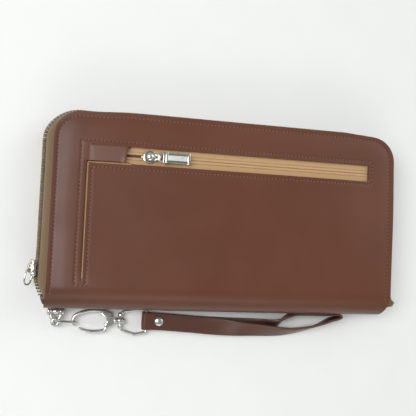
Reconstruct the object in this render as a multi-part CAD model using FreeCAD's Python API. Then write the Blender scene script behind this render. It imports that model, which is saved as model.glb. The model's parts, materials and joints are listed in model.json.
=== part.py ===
"""Long zip-round wallet with a wrist strap.

Frame: the wallet lies on its back.  +X runs along its length, +Y from the spine to the long
zipped side, +Z up through the front cover.  The origin is the middle of the flat back face.
Units are millimetres.
"""
import FreeCAD
import Part
import math
import os

V = FreeCAD.Vector
X, Y, Z = V(1, 0, 0), V(0, 1, 0), V(0, 0, 1)

# ---------------------------------------------------------------- driving dimensions
LENGTH = 200.0            # along X
HEIGHT = 107.0            # along Y
THICK = 25.0              # along Z
CORNER = 15.5             # radius of the two corners on the zipped side
LEATHER = 1.6
SPINE_R = THICK / 2       # the spine is a half round
CREASE_Y = -HEIGHT / 2 + SPINE_R
JOIN_GAP = 0.3            # between the front cover and the spine, along the crease

HALF_L, HALF_H, MID_Z = LENGTH / 2, HEIGHT / 2, THICK / 2

# layers under the front leather and over the back leather
TAPE = 0.5
FRONT_TAPE_Z = THICK - LEATHER - TAPE
BAG_PLY = 0.3
BAG_OUTER_Z = FRONT_TAPE_Z - 0.4
BAG_INNER_Z = 20.5
FRONT_BOARD_Z, FRONT_BOARD = 19.7, 0.8
BACK_BOARD = 1.3
LINING = 0.4
SLOT_PLY, SLOT_COUNT, SLOT_STEP = 0.45, 4, 9.0
BACK_LINING_Z = LEATHER + BACK_BOARD
BACK_SLOT_Z = BACK_LINING_Z + LINING
FRONT_LINING_Z = FRONT_BOARD_Z - LINING
FRONT_SLOT_Z = FRONT_LINING_Z - SLOT_COUNT * SLOT_PLY
LINING_INSET, BOARD_INSET = 4.0, 6.5
LAYER_LOW_Y = CREASE_Y + 1.5
SLOT_HALF_X, SLOT_LOW_Y, SLOT_TOP_Y = 88.0, -34.0, 22.0

# outer pocket: zip window, slit down its left side, tapes and end tab
WINDOW = (-84.0, 83.4, 25.6, 35.2)
SLIT_X, SLIT_W, SLIT_LOW_Y = -82.0, 0.6, -37.5
POCKET_Y = (WINDOW[2] + WINDOW[3]) / 2
CHAIN_GAP = 1.2           # between the two halves of every zip chain
TAPE_MARGIN = 3.0         # tape sewn under the leather beside the window

# main zip: how far the coil's outer face stands out of the leather edge on each side
COIL_OUT = {"left": 5.6, "top": 3.0, "right": 5.6}
COIL_DEEP, COIL_HIGH = 2.2, 1.3
TAPE_SEWN = 6.0

# strap hardware
HW_Y, HW_Z = -60.8, 3.4   # the swivel's axis
PIN_X, PIN_Y, PIN_Z = -93.0, -56.2, 4.0
BALL_Y = -62.0
TIP_X = -83.4             # left tip of the clasp's oval
BAR_X = -42.4             # bar of the D ring inside the strap's fold
RING_WIRE = 0.9
STRAP_W, STRAP_T = 10.0, 1.5

parts = {}


# ---------------------------------------------------------------- helpers
def box(x0, x1, y0, y1, z0, z1):
    return Part.makeBox(x1 - x0, y1 - y0, z1 - z0, V(x0, y0, z0))


def cylinder(radius, start, end):
    start, end = V(*start), V(*end)
    return Part.makeCylinder(radius, (end - start).Length, start, end - start)


def fuse(shapes):
    whole = shapes[0].multiFuse(shapes[1:]) if len(shapes) > 1 else shapes[0]
    whole = whole.removeSplitter()
    return whole.Solids[0] if len(whole.Solids) == 1 else whole


def polygon(points):
    return Part.Wire(Part.makePolygon([V(*p) for p in points] + [V(*points[0])]))


def prism(points, direction):
    return Part.Face(polygon(points)).extrude(V(*direction))


def cover_plate(inset, low_y, z, thickness):
    """A plate in the cover's outline: square at the spine, round at the zipped corners."""
    x, top, r = HALF_L - inset, HALF_H - inset, max(CORNER - inset, 3.0)
    d = r * math.sin(math.pi / 4)
    cx, cy = x - r, top - r
    edges = [
        Part.LineSegment(V(-x, low_y, z), V(-x, cy, z)),
        Part.Arc(V(-x, cy, z), V(-cx - d, cy + d, z), V(-cx, top, z)),
        Part.LineSegment(V(-cx, top, z), V(cx, top, z)),
        Part.Arc(V(cx, top, z), V(cx + d, cy + d, z), V(x, cy, z)),
        Part.LineSegment(V(x, cy, z), V(x, low_y, z)),
        Part.LineSegment(V(x, low_y, z), V(-x, low_y, z)),
    ]
    return Part.Face(Part.Wire([e.toShape() for e in edges])).extrude(V(0, 0, thickness))


def round_path(left, top, right, z, low_y):
    """Five edges round the zipped sides, each side its own distance out of the leather edge."""
    xl, xr, yt = -(HALF_L + left), HALF_L + right, HALF_H + top
    rl, rr = CORNER + (left + top) / 2, CORNER + (right + top) / 2
    s = math.sin(math.pi / 4)
    a, b = V(xl, low_y, z), V(xl, yt - rl, z)
    c, d = V(xl + rl, yt, z), V(xr - rr, yt, z)
    e, f = V(xr, yt - rr, z), V(xr, low_y, z)
    mid_l = V(xl + rl - rl * s, yt - rl + rl * s, z)
    mid_r = V(xr - rr + rr * s, yt - rr + rr * s, z)
    return [
        Part.LineSegment(a, b).toShape(), Part.Arc(b, mid_l, c).toShape(),
        Part.LineSegment(c, d).toShape(), Part.Arc(d, mid_r, e).toShape(),
        Part.LineSegment(e, f).toShape(),
    ]


def round_band(section, low_y):
    """A solid with a polygon section carried round the zipped sides.

    section lists (out_left, out_top, out_right, z) for each corner of the polygon.
    """
    paths = [round_path(*corner, low_y) for corner in section]
    faces = []
    for path, following in zip(paths, paths[1:] + paths[:1]):
        faces += [Part.makeRuledSurface(p, q) for p, q in zip(path, following)]
    for end in (0, -1):
        corners = [p[end].Vertexes[end].Point for p in paths]
        faces.append(Part.Face(polygon(corners)))
    shell = Part.makeShell(faces)
    shell.sewShape()
    solid = Part.Solid(shell)
    if solid.Volume < 0:
        solid.reverse()
    return solid


def mirrored(section):
    """The same section on the other cover, across the middle of the thickness."""
    return [(a, b, c, THICK - z) for a, b, c, z in section]


def filleted(points, radii):
    """Edges of a closed polygon in the XY plane with each corner rounded."""
    n, stops = len(points), []
    for i in range(n):
        p, q, r = V(*points[i - 1]), V(*points[i]), V(*points[(i + 1) % n])
        u, w = (p - q).normalize(), (r - q).normalize()
        half = u.getAngle(w) / 2
        t = radii[i] / math.tan(half)
        centre = q + (u + w).normalize() * (radii[i] / math.sin(half))
        middle = centre + (q - centre).normalize() * radii[i]
        stops.append((q + u * t, middle, q + w * t))
    edges = []
    for i in range(n):
        a, m, b = stops[i]
        edges.append(Part.Arc(a, m, b).toShape())
        following = stops[(i + 1) % n][0]
        if (following - b).Length > 1e-4:
            edges.append(Part.LineSegment(b, following).toShape())
    return edges


def rod(edges, radius):
    """Round wire along straight and circular edges: exact cylinders and torus pieces."""
    pieces = []
    for edge in edges:
        start, tangent = edge.valueAt(edge.FirstParameter), edge.tangentAt(edge.FirstParameter)
        if isinstance(edge.Curve, Part.Line):
            pieces.append(Part.makeCylinder(radius, edge.Length, start, tangent))
            continue
        disc = Part.Face(Part.Wire(Part.makeCircle(radius, start, tangent)))
        turn = math.degrees(edge.Length / edge.Curve.Radius)
        axis = (start - edge.Curve.Center).cross(tangent)
        pieces.append(disc.revolve(edge.Curve.Center, axis, turn))
    return fuse(pieces)


def arc_edge(cx, cy, radius, start_deg, end_deg, z=0.0):
    def at(deg):
        a = math.radians(deg)
        return V(cx + radius * math.cos(a), cy + radius * math.sin(a), z)
    return Part.Arc(at(start_deg), at((start_deg + end_deg) / 2), at(end_deg)).toShape()


def placed(shape, origin, x_dir, y_dir):
    """Moves a shape drawn in the XY plane so that its X and Y lie along two directions."""
    x_dir, y_dir = V(*x_dir).normalize(), V(*y_dir).normalize()
    turn = FreeCAD.Rotation(x_dir, y_dir, x_dir.cross(y_dir), "XYZ")
    moved = shape.copy()
    moved.Placement = FreeCAD.Placement(V(*origin), turn).multiply(moved.Placement)
    return moved


# ---------------------------------------------------------------- covers and spine
def covers():
    low = CREASE_Y + JOIN_GAP
    front = cover_plate(0, low, THICK - LEATHER, LEATHER)
    x0, x1, y0, y1 = WINDOW
    window = box(x0, x1, y0, y1, FRONT_TAPE_Z, THICK + 1)
    slit = box(SLIT_X - SLIT_W / 2, SLIT_X + SLIT_W / 2, SLIT_LOW_Y, y0 + 1,
               FRONT_TAPE_Z, THICK + 1)
    parts["front_cover_leather"] = front.cut(window.fuse(slit))
    parts["back_cover_leather"] = cover_plate(0, CREASE_Y, 0, LEATHER)
    outer = cylinder(SPINE_R, (-HALF_L, CREASE_Y, MID_Z), (HALF_L, CREASE_Y, MID_Z))
    inner = cylinder(SPINE_R - LEATHER, (-HALF_L - 1, CREASE_Y, MID_Z),
                     (HALF_L + 1, CREASE_Y, MID_Z))
    keep = box(-HALF_L, HALF_L, -HALF_H - 1, CREASE_Y, -1, THICK + 1)
    parts["spine_leather"] = outer.cut(inner).common(keep)


def cover_layers():
    x0, x1, y0, y1 = WINDOW
    board = cover_plate(BOARD_INSET, LAYER_LOW_Y, FRONT_BOARD_Z, FRONT_BOARD)
    parts["front_stiffener"] = board
    parts["back_stiffener"] = cover_plate(BOARD_INSET, LAYER_LOW_Y, LEATHER, BACK_BOARD)
    parts["front_lining"] = cover_plate(LINING_INSET, LAYER_LOW_Y, FRONT_LINING_Z, LINING)
    parts["back_lining"] = cover_plate(LINING_INSET, LAYER_LOW_Y, BACK_LINING_Z, LINING)
    for i in range(SLOT_COUNT):
        top = SLOT_TOP_Y - i * SLOT_STEP
        back_z = BACK_SLOT_Z + i * SLOT_PLY
        front_z = FRONT_LINING_Z - (i + 1) * SLOT_PLY
        for side, z in (("back", back_z), ("front", front_z)):
            parts[f"{side}_card_slot_{i + 1}"] = box(
                -SLOT_HALF_X, SLOT_HALF_X, SLOT_LOW_Y, top, z, z + SLOT_PLY)


def gussets():
    """Folded side gussets, a zigzag seen from the spine."""
    low, high = BACK_LINING_Z + LINING, FRONT_LINING_Z - 0.3
    outer_x, fold, ply, folds = 95.0, 4.0, 0.5, 4
    step = (high - low) / folds
    outline = [(outer_x - (fold if i % 2 == 0 else 0), low + i * step) for i in range(folds + 1)]
    back = [(x - ply, z) for x, z in reversed(outline)]
    for name, sign in (("gusset_left", -1), ("gusset_right", 1)):
        points = [(sign * x, LAYER_LOW_Y + 2, z) for x, z in outline + back]
        parts[name] = prism(points, (0, 62, 0))


# ---------------------------------------------------------------- main zip
def coil_outs(inset=0.0):
    return tuple(COIL_OUT[side] - inset for side in ("left", "top", "right"))


def main_zip():
    coil_low = MID_Z + CHAIN_GAP / 2
    coil_top = coil_low + COIL_HIGH
    bend_z = coil_top + 1.0
    in_outer = coil_outs(COIL_DEEP)
    in_inner = coil_outs(COIL_DEEP + TAPE)
    top_z, under_z = THICK - LEATHER, FRONT_TAPE_Z
    tape = [
        (-TAPE_SEWN,) * 3 + (top_z,), (0, 0, 0, top_z),
        in_outer + (bend_z,), in_outer + (coil_low,),
        in_inner + (coil_low,), in_inner + (bend_z - 0.2,),
        (-0.6,) * 3 + (under_z,), (-TAPE_SEWN,) * 3 + (under_z,),
    ]
    coil = [coil_outs() + (coil_top,), coil_outs() + (coil_low,),
            in_outer + (coil_low,), in_outer + (coil_top,)]
    low_y = CREASE_Y + JOIN_GAP
    end_y, out = -47.0, COIL_OUT["left"]
    for side, flip in (("front", False), ("back", True)):
        def at(x, y, z):
            return (x, y, THICK - z if flip else z)
        bands = {"tape": tape, "coil": coil}
        if flip:
            bands = {name: mirrored(section) for name, section in bands.items()}
        # below the slider the two halves part and run into the corners of the covers
        xo, xi = -(HALF_L + out), -(HALF_L + out - COIL_DEEP)
        skirt = [polygon([at(-HALF_L - 0.3, low_y, top_z), at(xi, low_y, bend_z),
                          at(xi, low_y, coil_low), at(xi + TAPE, low_y, coil_low),
                          at(xi + TAPE, low_y, bend_z), at(-HALF_L - 0.3, low_y, under_z)]),
                 polygon([at(-HALF_L - 0.9, end_y, 21.0), at(-HALF_L - 1.4, end_y, 19.5),
                          at(-HALF_L - 1.4, end_y, 18.4), at(-HALF_L - 0.9, end_y, 18.4),
                          at(-HALF_L - 0.9, end_y, 19.5), at(-HALF_L - 0.4, end_y, 21.0)])]
        tail = [polygon([at(xo, low_y, coil_top), at(xo, low_y, coil_low),
                         at(xi, low_y, coil_low), at(xi, low_y, coil_top)]),
                polygon([at(-HALF_L - 3.6, end_y, 19.7), at(-HALF_L - 3.6, end_y, 18.4),
                         at(-HALF_L - 1.4, end_y, 18.4), at(-HALF_L - 1.4, end_y, 19.7)])]
        tape_band = round_band(bands["tape"], low_y)
        coil_band = round_band(bands["coil"], low_y)
        parts[f"main_zip_tape_{side}"] = fuse([tape_band, Part.makeLoft(skirt, True, True)])
        parts[f"main_zip_coil_{side}"] = fuse([coil_band, Part.makeLoft(tail, True, True)])
    tab = [(HALF_L + 0.4, -40.6), (HALF_L + 5.2, -40.9), (HALF_L + 5.6, -42.6),
           (HALF_L + 8.4, -44.4), (HALF_L + 8.2, -45.8), (HALF_L + 4.4, -47.0),
           (HALF_L + 0.4, -49.6)]
    parts["zip_end_tab"] = prism([(x, y, MID_Z - 3.2) for x, y in tab], (0, 0, 6.4))


def main_slider():
    """Slider of the main zip on the left side, with a crown and a wire pull."""
    y, length = -33.0, 10.2
    face = -(HALF_L + COIL_OUT["left"])
    y0, y1 = y - length / 2, y + length / 2
    outer = box(face - 1.5, face - 0.3, y0, y1, MID_Z - 3.6, MID_Z + 3.6)
    outer = outer.makeFillet(0.5, [e for e in outer.Edges if abs(e.BoundBox.XLength - 1.2) < 0.01])
    inner = box(face + 3.0, face + 3.8, y0 + 1, y1 - 1, MID_Z - 2.6, MID_Z + 2.6)
    web = box(face - 0.5, face + 3.2, y0 + 1, y1 - 5, MID_Z - 0.3, MID_Z + 0.3)
    parts["main_slider_body"] = fuse([outer, inner, web])
    crown_x = face - 1.5
    arch = box(crown_x - 2.8, crown_x, y - 3.2, y + 3.2, MID_Z - 0.9, MID_Z + 0.9)
    hole = box(crown_x - 2.0, crown_x, y - 2.1, y + 2.1, MID_Z - 1, MID_Z + 1)
    arch = arch.makeFillet(1.6, [e for e in arch.Edges
                                 if abs(e.BoundBox.ZLength - 1.8) < 0.01
                                 and e.BoundBox.XMax < crown_x - 2])
    parts["main_slider_crown"] = arch.cut(hole)
    # wire pull, drawn lying along +X from its crossbar, then hung on the crown
    long, half_w, wire = 8.8, 3.4, 0.45
    loop = rod(filleted([(0, -1.75, 0), (0, 1.75, 0), (long * 0.55, half_w, 0), (long, half_w, 0),
                         (long, -half_w, 0), (long * 0.55, -half_w, 0)],
                        [0.8, 0.8, 3, 2.4, 2.4, 3]), wire)
    out, roll = math.radians(10), math.radians(22)
    along = V(-math.sin(out), -math.cos(out), 0)
    side = Z * math.cos(roll) + along.cross(Z) * math.sin(roll)
    parts["main_pull_loop"] = placed(loop, (crown_x - 1.1, y - 0.4, MID_Z), along, side)


# ---------------------------------------------------------------- outer pocket
def pocket_zip():
    x0, x1, y0, y1 = WINDOW
    ends = (x0 - TAPE_MARGIN, x1 + TAPE_MARGIN)
    half = CHAIN_GAP / 2
    coil_z, coil_w, coil_h = 21.8, 1.6, 1.0
    for name, sign in (("upper", 1), ("lower", -1)):
        inner = POCKET_Y + sign * half
        edge = (y1 if sign > 0 else y0) + sign * TAPE_MARGIN
        low, high = sorted((inner, edge))
        parts[f"pocket_zip_tape_{name}"] = box(*ends, low, high, FRONT_TAPE_Z, THICK - LEATHER)
        low, high = sorted((inner, inner + sign * coil_w))
        parts[f"pocket_zip_coil_{name}"] = box(ends[0] + 2, ends[1] - 2, low, high,
                                               coil_z, coil_z + coil_h)
    tab_z = THICK - LEATHER + 0.1
    parts["pocket_end_tab"] = prism(
        [(x0 + 0.3, y0 + 0.4, tab_z), (x0 + 21.8, y0 + 0.4, tab_z),
         (x0 + 23.4, y1 - 0.3, tab_z), (x0 + 0.3, y1 - 0.3, tab_z)], (0, 0, 1.2))
    bag_x, bag_low, bag_top = 86.0, LAYER_LOW_Y + 1, y1 + TAPE_MARGIN
    parts["pocket_bag_outer"] = box(-bag_x, bag_x, bag_low, y0 - 0.2, BAG_OUTER_Z,
                                    BAG_OUTER_Z + BAG_PLY)
    parts["pocket_bag_inner"] = box(-bag_x, bag_x, bag_low, bag_top, BAG_INNER_Z,
                                    BAG_INNER_Z + BAG_PLY)


def pocket_slider():
    x, length, half_w = -48.2, 10.0, 3.3
    x0, x1 = x - length / 2, x + length / 2
    plate_z = THICK - LEATHER + 0.2
    plate = box(x0, x1, POCKET_Y - half_w, POCKET_Y + half_w, plate_z, plate_z + 0.8)
    plate = plate.makeFillet(2.2, [e for e in plate.Edges if abs(e.BoundBox.ZLength - 0.8) < 0.01])
    under = box(x0 + 1, x1 - 1, POCKET_Y - 3.2, POCKET_Y + 3.2, 20.95, 21.55)
    web = box(x0 + 3, x1 - 1, POCKET_Y - 0.4, POCKET_Y + 0.4, 21.3, plate_z + 0.3)
    parts["pocket_slider_body"] = fuse([plate, under, web])
    dome_z = plate_z + 0.8
    ball = Part.makeSphere(4.6, V(x, POCKET_Y, dome_z - 2.0))
    cap = ball.common(box(x - 6, x + 6, POCKET_Y - 6, POCKET_Y + 6, dome_z, dome_z + 6))
    lug_x = x + 5.2
    zc = dome_z + 1.95
    lug = cylinder(1.5, (lug_x, POCKET_Y - 0.9, zc), (lug_x, POCKET_Y + 0.9, zc))
    neck = box(x + 2.5, lug_x, POCKET_Y - 0.9, POCKET_Y + 0.9, dome_z, zc)
    eye = cylinder(0.7, (lug_x, POCKET_Y - 2, zc), (lug_x, POCKET_Y + 2, zc))
    parts["pocket_slider_dome"] = fuse([cap, lug, neck]).cut(eye)
    # pull: a wire stirrup through the lug, then a collar and a rounded bar
    wire, bar_x0, bar_x1 = 0.6, x + 8.0, x + 23.0
    stirrup = rod(filleted([(lug_x, -1.9, 0), (lug_x, 1.9, 0), (bar_x0 + 1, 1.9, 0),
                            (bar_x0 + 1, -1.9, 0)], [0.9] * 4), wire)
    stirrup.translate(V(0, POCKET_Y, zc))
    parts["pocket_pull_stirrup"] = stirrup
    bar = box(bar_x0, bar_x1, POCKET_Y - 3.0, POCKET_Y + 3.0, zc - 1.0, zc + 1.1)
    bar = bar.makeFillet(0.8, [e for e in bar.Edges if abs(e.BoundBox.XLength - 15.0) < 0.01])
    collar = box(bar_x0, bar_x0 + 2.2, POCKET_Y - 3.2, POCKET_Y + 3.2, zc - 1.0, zc + 1.3)
    rim = box(bar_x1 - 1.2, bar_x1, POCKET_Y - 3.2, POCKET_Y + 3.2, zc - 1.0, zc + 1.3)
    socket = box(bar_x0 - 1, bar_x0 + 2.0, POCKET_Y - 2.6, POCKET_Y + 2.6, zc - 0.75, zc + 0.75)
    parts["pocket_pull_bar"] = fuse([bar, collar, rim]).cut(socket)


# ---------------------------------------------------------------- coin pocket inside
def coin_pocket():
    half_x, low, top, ply = 86.0, -33.0, 34.0, 0.6
    z0, z1 = 9.5, 13.1
    parts["coin_panel_back"] = box(-half_x, half_x, low, top, z0, z0 + ply)
    parts["coin_panel_front"] = box(-half_x, half_x, low, top, z1 - ply, z1)
    parts["coin_pocket_binding"] = fuse([
        box(-half_x, -half_x + 2, low, top, z0 + ply, z1 - ply),
        box(half_x - 2, half_x, low, top, z0 + ply, z1 - ply),
        box(-half_x, half_x, low, low + 2, z0 + ply, z1 - ply)])
    mid = (z0 + z1) / 2
    for name, sign in (("back", -1), ("front", 1)):
        a, b = sorted((mid + sign * 0.6, mid + sign * 1.1))
        parts[f"coin_zip_tape_{name}"] = box(-half_x + 2, half_x - 2, top - 6, top + 7, a, b)
        a, b = sorted((mid + sign * 0.5, mid + sign * 1.4))
        parts[f"coin_zip_coil_{name}"] = box(-half_x + 4, half_x - 4, top + 7, top + 8.4, a, b)
    x, length = -70.0, 8.0
    y0 = top + 7
    outer = box(x, x + length, y0 + 1.7, y0 + 2.5, mid - 1.7, mid + 1.7)
    web = box(x + 1, x + length - 3, y0 - 1.2, y0 + 2.1, mid - 0.3, mid + 0.3)
    inner = box(x + 1, x + length - 1, y0 - 2.0, y0 - 1.2, mid - 0.4, mid + 0.4)
    lug = cylinder(1.2, (x + 4, y0 + 3.5, mid - 0.8), (x + 4, y0 + 3.5, mid + 0.8))
    eye = cylinder(0.7, (x + 4, y0 + 3.5, mid - 2), (x + 4, y0 + 3.5, mid + 2))
    parts["coin_slider_body"] = fuse([outer, web, inner, lug]).cut(eye)
    pull = rod(filleted([(0, -1.75, 0), (0, 1.75, 0), (10, 1.5, 0), (10, -1.5, 0)], [0.7] * 4), 0.45)
    parts["coin_pull"] = placed(pull, (x + 4, y0 + 3.5, mid), (1, 0.25, 0), (0, 0, 1))


# ---------------------------------------------------------------- strap hardware
def anchor():
    """Leather tab on the spine, cross pin and the shackle that hangs from the pin."""
    wrap = cylinder(2.4, (PIN_X - 1.4, PIN_Y, PIN_Z), (PIN_X + 1.4, PIN_Y, PIN_Z))
    plies = box(PIN_X - 1.4, PIN_X + 1.4, PIN_Y, CREASE_Y - 6, PIN_Z - 1.4, PIN_Z + 1.4)
    eye = cylinder(1.12, (PIN_X - 3, PIN_Y, PIN_Z), (PIN_X + 3, PIN_Y, PIN_Z))
    full_spine = cylinder(SPINE_R, (-HALF_L, CREASE_Y, MID_Z), (HALF_L, CREASE_Y, MID_Z))
    parts["anchor_tab"] = wrap.fuse(plies).removeSplitter().cut(eye).cut(full_spine)
    shaft = cylinder(1.1, (PIN_X - 3.6, PIN_Y, PIN_Z), (PIN_X + 3.6, PIN_Y, PIN_Z))
    heads = [cylinder(1.9, (PIN_X + s * 3.5, PIN_Y, PIN_Z), (PIN_X + s * 4.8, PIN_Y, PIN_Z))
             for s in (-1, 1)]
    parts["anchor_pin"] = fuse([shaft] + heads)
    arms = []
    for s in (-1, 1):
        ear = cylinder(2.1, (PIN_X + s * 1.9, PIN_Y, PIN_Z), (PIN_X + s * 3.2, PIN_Y, PIN_Z))
        arm = prism([(PIN_X + s * 1.9, PIN_Y, PIN_Z - 1.2), (PIN_X + s * 3.2, PIN_Y, PIN_Z - 1.2),
                     (PIN_X + s * 2.0, BALL_Y, PIN_Z - 1.2), (PIN_X + s * 0.7, BALL_Y, PIN_Z - 1.2)],
                    (0, 0, 2.4))
        arms += [ear, arm]
    ball = Part.makeSphere(2.7, V(PIN_X, BALL_Y, PIN_Z))
    ball = ball.common(box(PIN_X - 3, PIN_X + 3, BALL_Y - 3, BALL_Y + 3, PIN_Z - 1.6, PIN_Z + 1.6))
    body = fuse(arms + [ball])
    body = body.cut(cylinder(1.19, (PIN_X - 4, PIN_Y, PIN_Z), (PIN_X + 4, PIN_Y, PIN_Z)))
    body = body.cut(cylinder(2.8, (PIN_X - 1.8, PIN_Y, PIN_Z), (PIN_X + 1.8, PIN_Y, PIN_Z)))
    hole = cylinder(1.0, (PIN_X + 0.8, BALL_Y, PIN_Z - 3), (PIN_X + 0.8, BALL_Y, PIN_Z + 3))
    parts["anchor_shackle"] = body.cut(hole)


def connecting_link():
    left, right, half, wire = PIN_X + 0.8, TIP_X + 1.9, 2.45, 0.55
    ring = rod(filleted([(left, -half, 0), (left, half, 0), (right, half, 0), (right, -half, 0)],
                        [1.3, 1.3, 2.0, 2.0]), wire)
    parts["connecting_link"] = placed(ring, (0, BALL_Y, PIN_Z), (1, 0, 0), (0, 0, 1))


def clasp():
    """Oval snap hook: a body arm over the top and round the tip, and a sprung gate below."""
    a, b, end_r = 11.8, 5.9, 3.7
    side_r = ((a - end_r) ** 2 + b ** 2 - end_r ** 2) / (2 * (b - end_r))
    cx, cy = TIP_X + a, HW_Y - 0.4
    lean = math.degrees(math.atan2(side_r - b, a - end_r))     # where end and side arcs meet
    z = HW_Z
    arm_r, gate_r = 0.95, 0.9
    tip_deg = 45.0
    top_side = arc_edge(cx, cy - (side_r - b), side_r, 90 - (90 - lean) + 2.0, 180 - lean, z)
    left_end = arc_edge(cx - (a - end_r), cy, end_r, 180 - lean, 180 + tip_deg, z)
    arm = rod([top_side, left_end], arm_r)
    base_x = cx + a - 3.2
    base = prism([(base_x - 4.6, cy + 4.1, z - 1.7), (base_x - 2.2, cy + 4.9, z - 1.7),
                  (base_x + 2.6, cy + 2.2, z - 1.7), (base_x + 2.6, cy - 1.6, z - 1.7),
                  (base_x - 1.0, cy - 3.4, z - 1.7), (base_x - 3.6, cy - 1.4, z - 1.7)], (0, 0, 3.4))
    slot = box(base_x - 5, base_x + 0.4, cy - 6, cy - 0.9, z - 1.0, z + 1.0)
    boss = cylinder(1.9, (base_x + 2.0, HW_Y, z), (base_x + 4.3, HW_Y, z))
    pin_x, pin_y = base_x - 1.7, cy - 2.2
    bore = cylinder(0.55, (pin_x, pin_y, z - 3), (pin_x, pin_y, z + 3))
    stud_hole = cylinder(0.8, (base_x + 2.2, HW_Y, z), (base_x + 5, HW_Y, z))
    body = fuse([arm, base, boss]).cut(slot).cut(bore).cut(stud_hole)
    parts["clasp_body"] = body
    parts["gate_pin"] = cylinder(0.55, (pin_x, pin_y, z - 1.9), (pin_x, pin_y, z + 1.9))
    low_side = arc_edge(cx, cy + (side_r - b), side_r, 180 + lean + 6.0, 270 + 17.5, z)
    end = low_side.valueAt(low_side.LastParameter)
    arm_low = rod([low_side], gate_r)
    lever = cylinder(0.85, (end.x, end.y, z), (pin_x, pin_y, z))
    hub = cylinder(1.25, (pin_x, pin_y, z - 0.85), (pin_x, pin_y, z + 0.85))
    gate = fuse([arm_low, lever, hub]).cut(cylinder(0.6, (pin_x, pin_y, z - 3), (pin_x, pin_y, z + 3)))
    parts["clasp_gate"] = gate
    return pin_x, pin_y, base_x


def swivel(base_x):
    z = HW_Z
    stud = cylinder(0.8, (base_x + 2.2, HW_Y, z), (base_x + 8.6, HW_Y, z))
    head = cylinder(1.5, (base_x + 7.5, HW_Y, z), (base_x + 8.6, HW_Y, z))
    parts["swivel_stud"] = fuse([stud, head])
    ring_x = base_x + 5.9
    # the side next to the spine is nearly straight, so that the ring clears it when lifted
    pts = [(BAR_X, 6.05), (BAR_X, -6.4), (BAR_X - 6.4, -7.6), (ring_x, -5.0),
           (ring_x, 5.0), (BAR_X - 6.4, 6.1)]
    ring = rod(filleted([(x, HW_Y + y, z) for x, y in pts], [1.0, 1.0, 4.0, 3.4, 3.4, 4.0]),
               RING_WIRE)
    boss = cylinder(2.0, (ring_x - 1.3, HW_Y, z), (ring_x + 1.3, HW_Y, z))
    bore = cylinder(0.88, (ring_x - 3, HW_Y, z), (ring_x + 3, HW_Y, z))
    parts["d_ring"] = fuse([ring, boss]).cut(bore)


# The strap's middle line from the fold on the ring out along the upper ply, round the far
# end and back along the lower ply: x, y, z and the roll of its width about the line in
# degrees, 0 lying flat and -90 standing on edge with its outer face away from the wallet.
STRAP_ROUTE = [
    (-37.0, -60.8, 4.35, 0), (-24.0, -61.6, 3.65, 0), (-10.0, -62.6, 3.4, -2),
    (2.0, -63.5, 3.95, -14), (14.0, -64.3, 5.2, -34), (26.0, -64.8, 5.85, -46),
    (33.0, -65.2, 5.5, -53), (39.2, -65.4, 5.25, -60), (45.0, -65.1, 5.25, -67),
    (54.4, -63.6, 5.3, -74), (62.5, -61.4, 5.4, -80), (68.0, -59.2, 5.45, -86),
    (71.7, -57.7, 5.45, -90), (74.4, -57.05, 5.45, -90), (76.2, -55.9, 5.45, -90),
    (74.4, -54.75, 5.45, -90), (71.7, -54.75, 5.45, -90), (68.0, -54.75, 5.45, -90),
    (61.0, -54.75, 5.45, -90), (52.0, -54.75, 5.45, -90), (46.5, -55.1, 5.45, -89),
    (42.0, -57.1, 5.4, -82), (38.0, -59.5, 5.3, -69), (33.3, -61.6, 4.3, -48),
    (26.0, -62.8, 2.8, -24), (14.0, -63.0, 1.75, -10), (2.0, -62.9, 1.25, -3),
    (-10.0, -62.5, 1.15, 0), (-24.0, -61.6, 1.7, 0), (-37.0, -60.8, 2.55, 0),
]
STRAP_TURN = 14           # the station at the far end of the loop


def strap_ribbon():
    """Both plies: four long edges through the stations, with ruled faces between them."""
    n, corners, params = len(STRAP_ROUTE), [[], [], [], []], [0.0]
    for i, (x, y, z, roll) in enumerate(STRAP_ROUTE):
        before = V(*STRAP_ROUTE[max(i - 1, 0)][:3])
        after = V(*STRAP_ROUTE[min(i + 1, n - 1)][:3])
        centre = V(x, y, z)
        along = (after - before).normalize()
        if i in (0, n - 1):
            along = V(1 if i == 0 else -1, 0, 0)
        if i > 0:
            params.append(params[-1] + (centre - before).Length)
        # lying flat, the width points towards the wallet; that edge rolls up off the table
        side = 1 if i <= STRAP_TURN else -1
        across = V(-along.y, along.x, 0).normalize() * side
        r = math.radians(roll)
        width = across * math.cos(r) - Z * math.sin(r)
        width = (width - along * width.dot(along)).normalize()
        thick = along.cross(width).normalize()
        w, t = width * (STRAP_W / 2), thick * (STRAP_T / 2)
        for line, corner in zip(corners, (centre - w - t, centre + w - t,
                                          centre + w + t, centre - w + t)):
            line.append(corner)
    edges = []
    for line in corners:
        curve = Part.BSplineCurve()
        curve.interpolate(Points=line, Parameters=params)
        edges.append(curve.toShape())
    faces = [Part.makeRuledSurface(edges[i], edges[(i + 1) % 4], 1) for i in range(4)]
    for end in (0, -1):
        faces.append(Part.Face(polygon([tuple(line[end]) for line in corners])))
    shell = Part.makeShell(faces)
    shell.sewShape()
    solid = Part.Solid(shell)
    if solid.Volume < 0:
        solid.reverse()
    return solid


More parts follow.
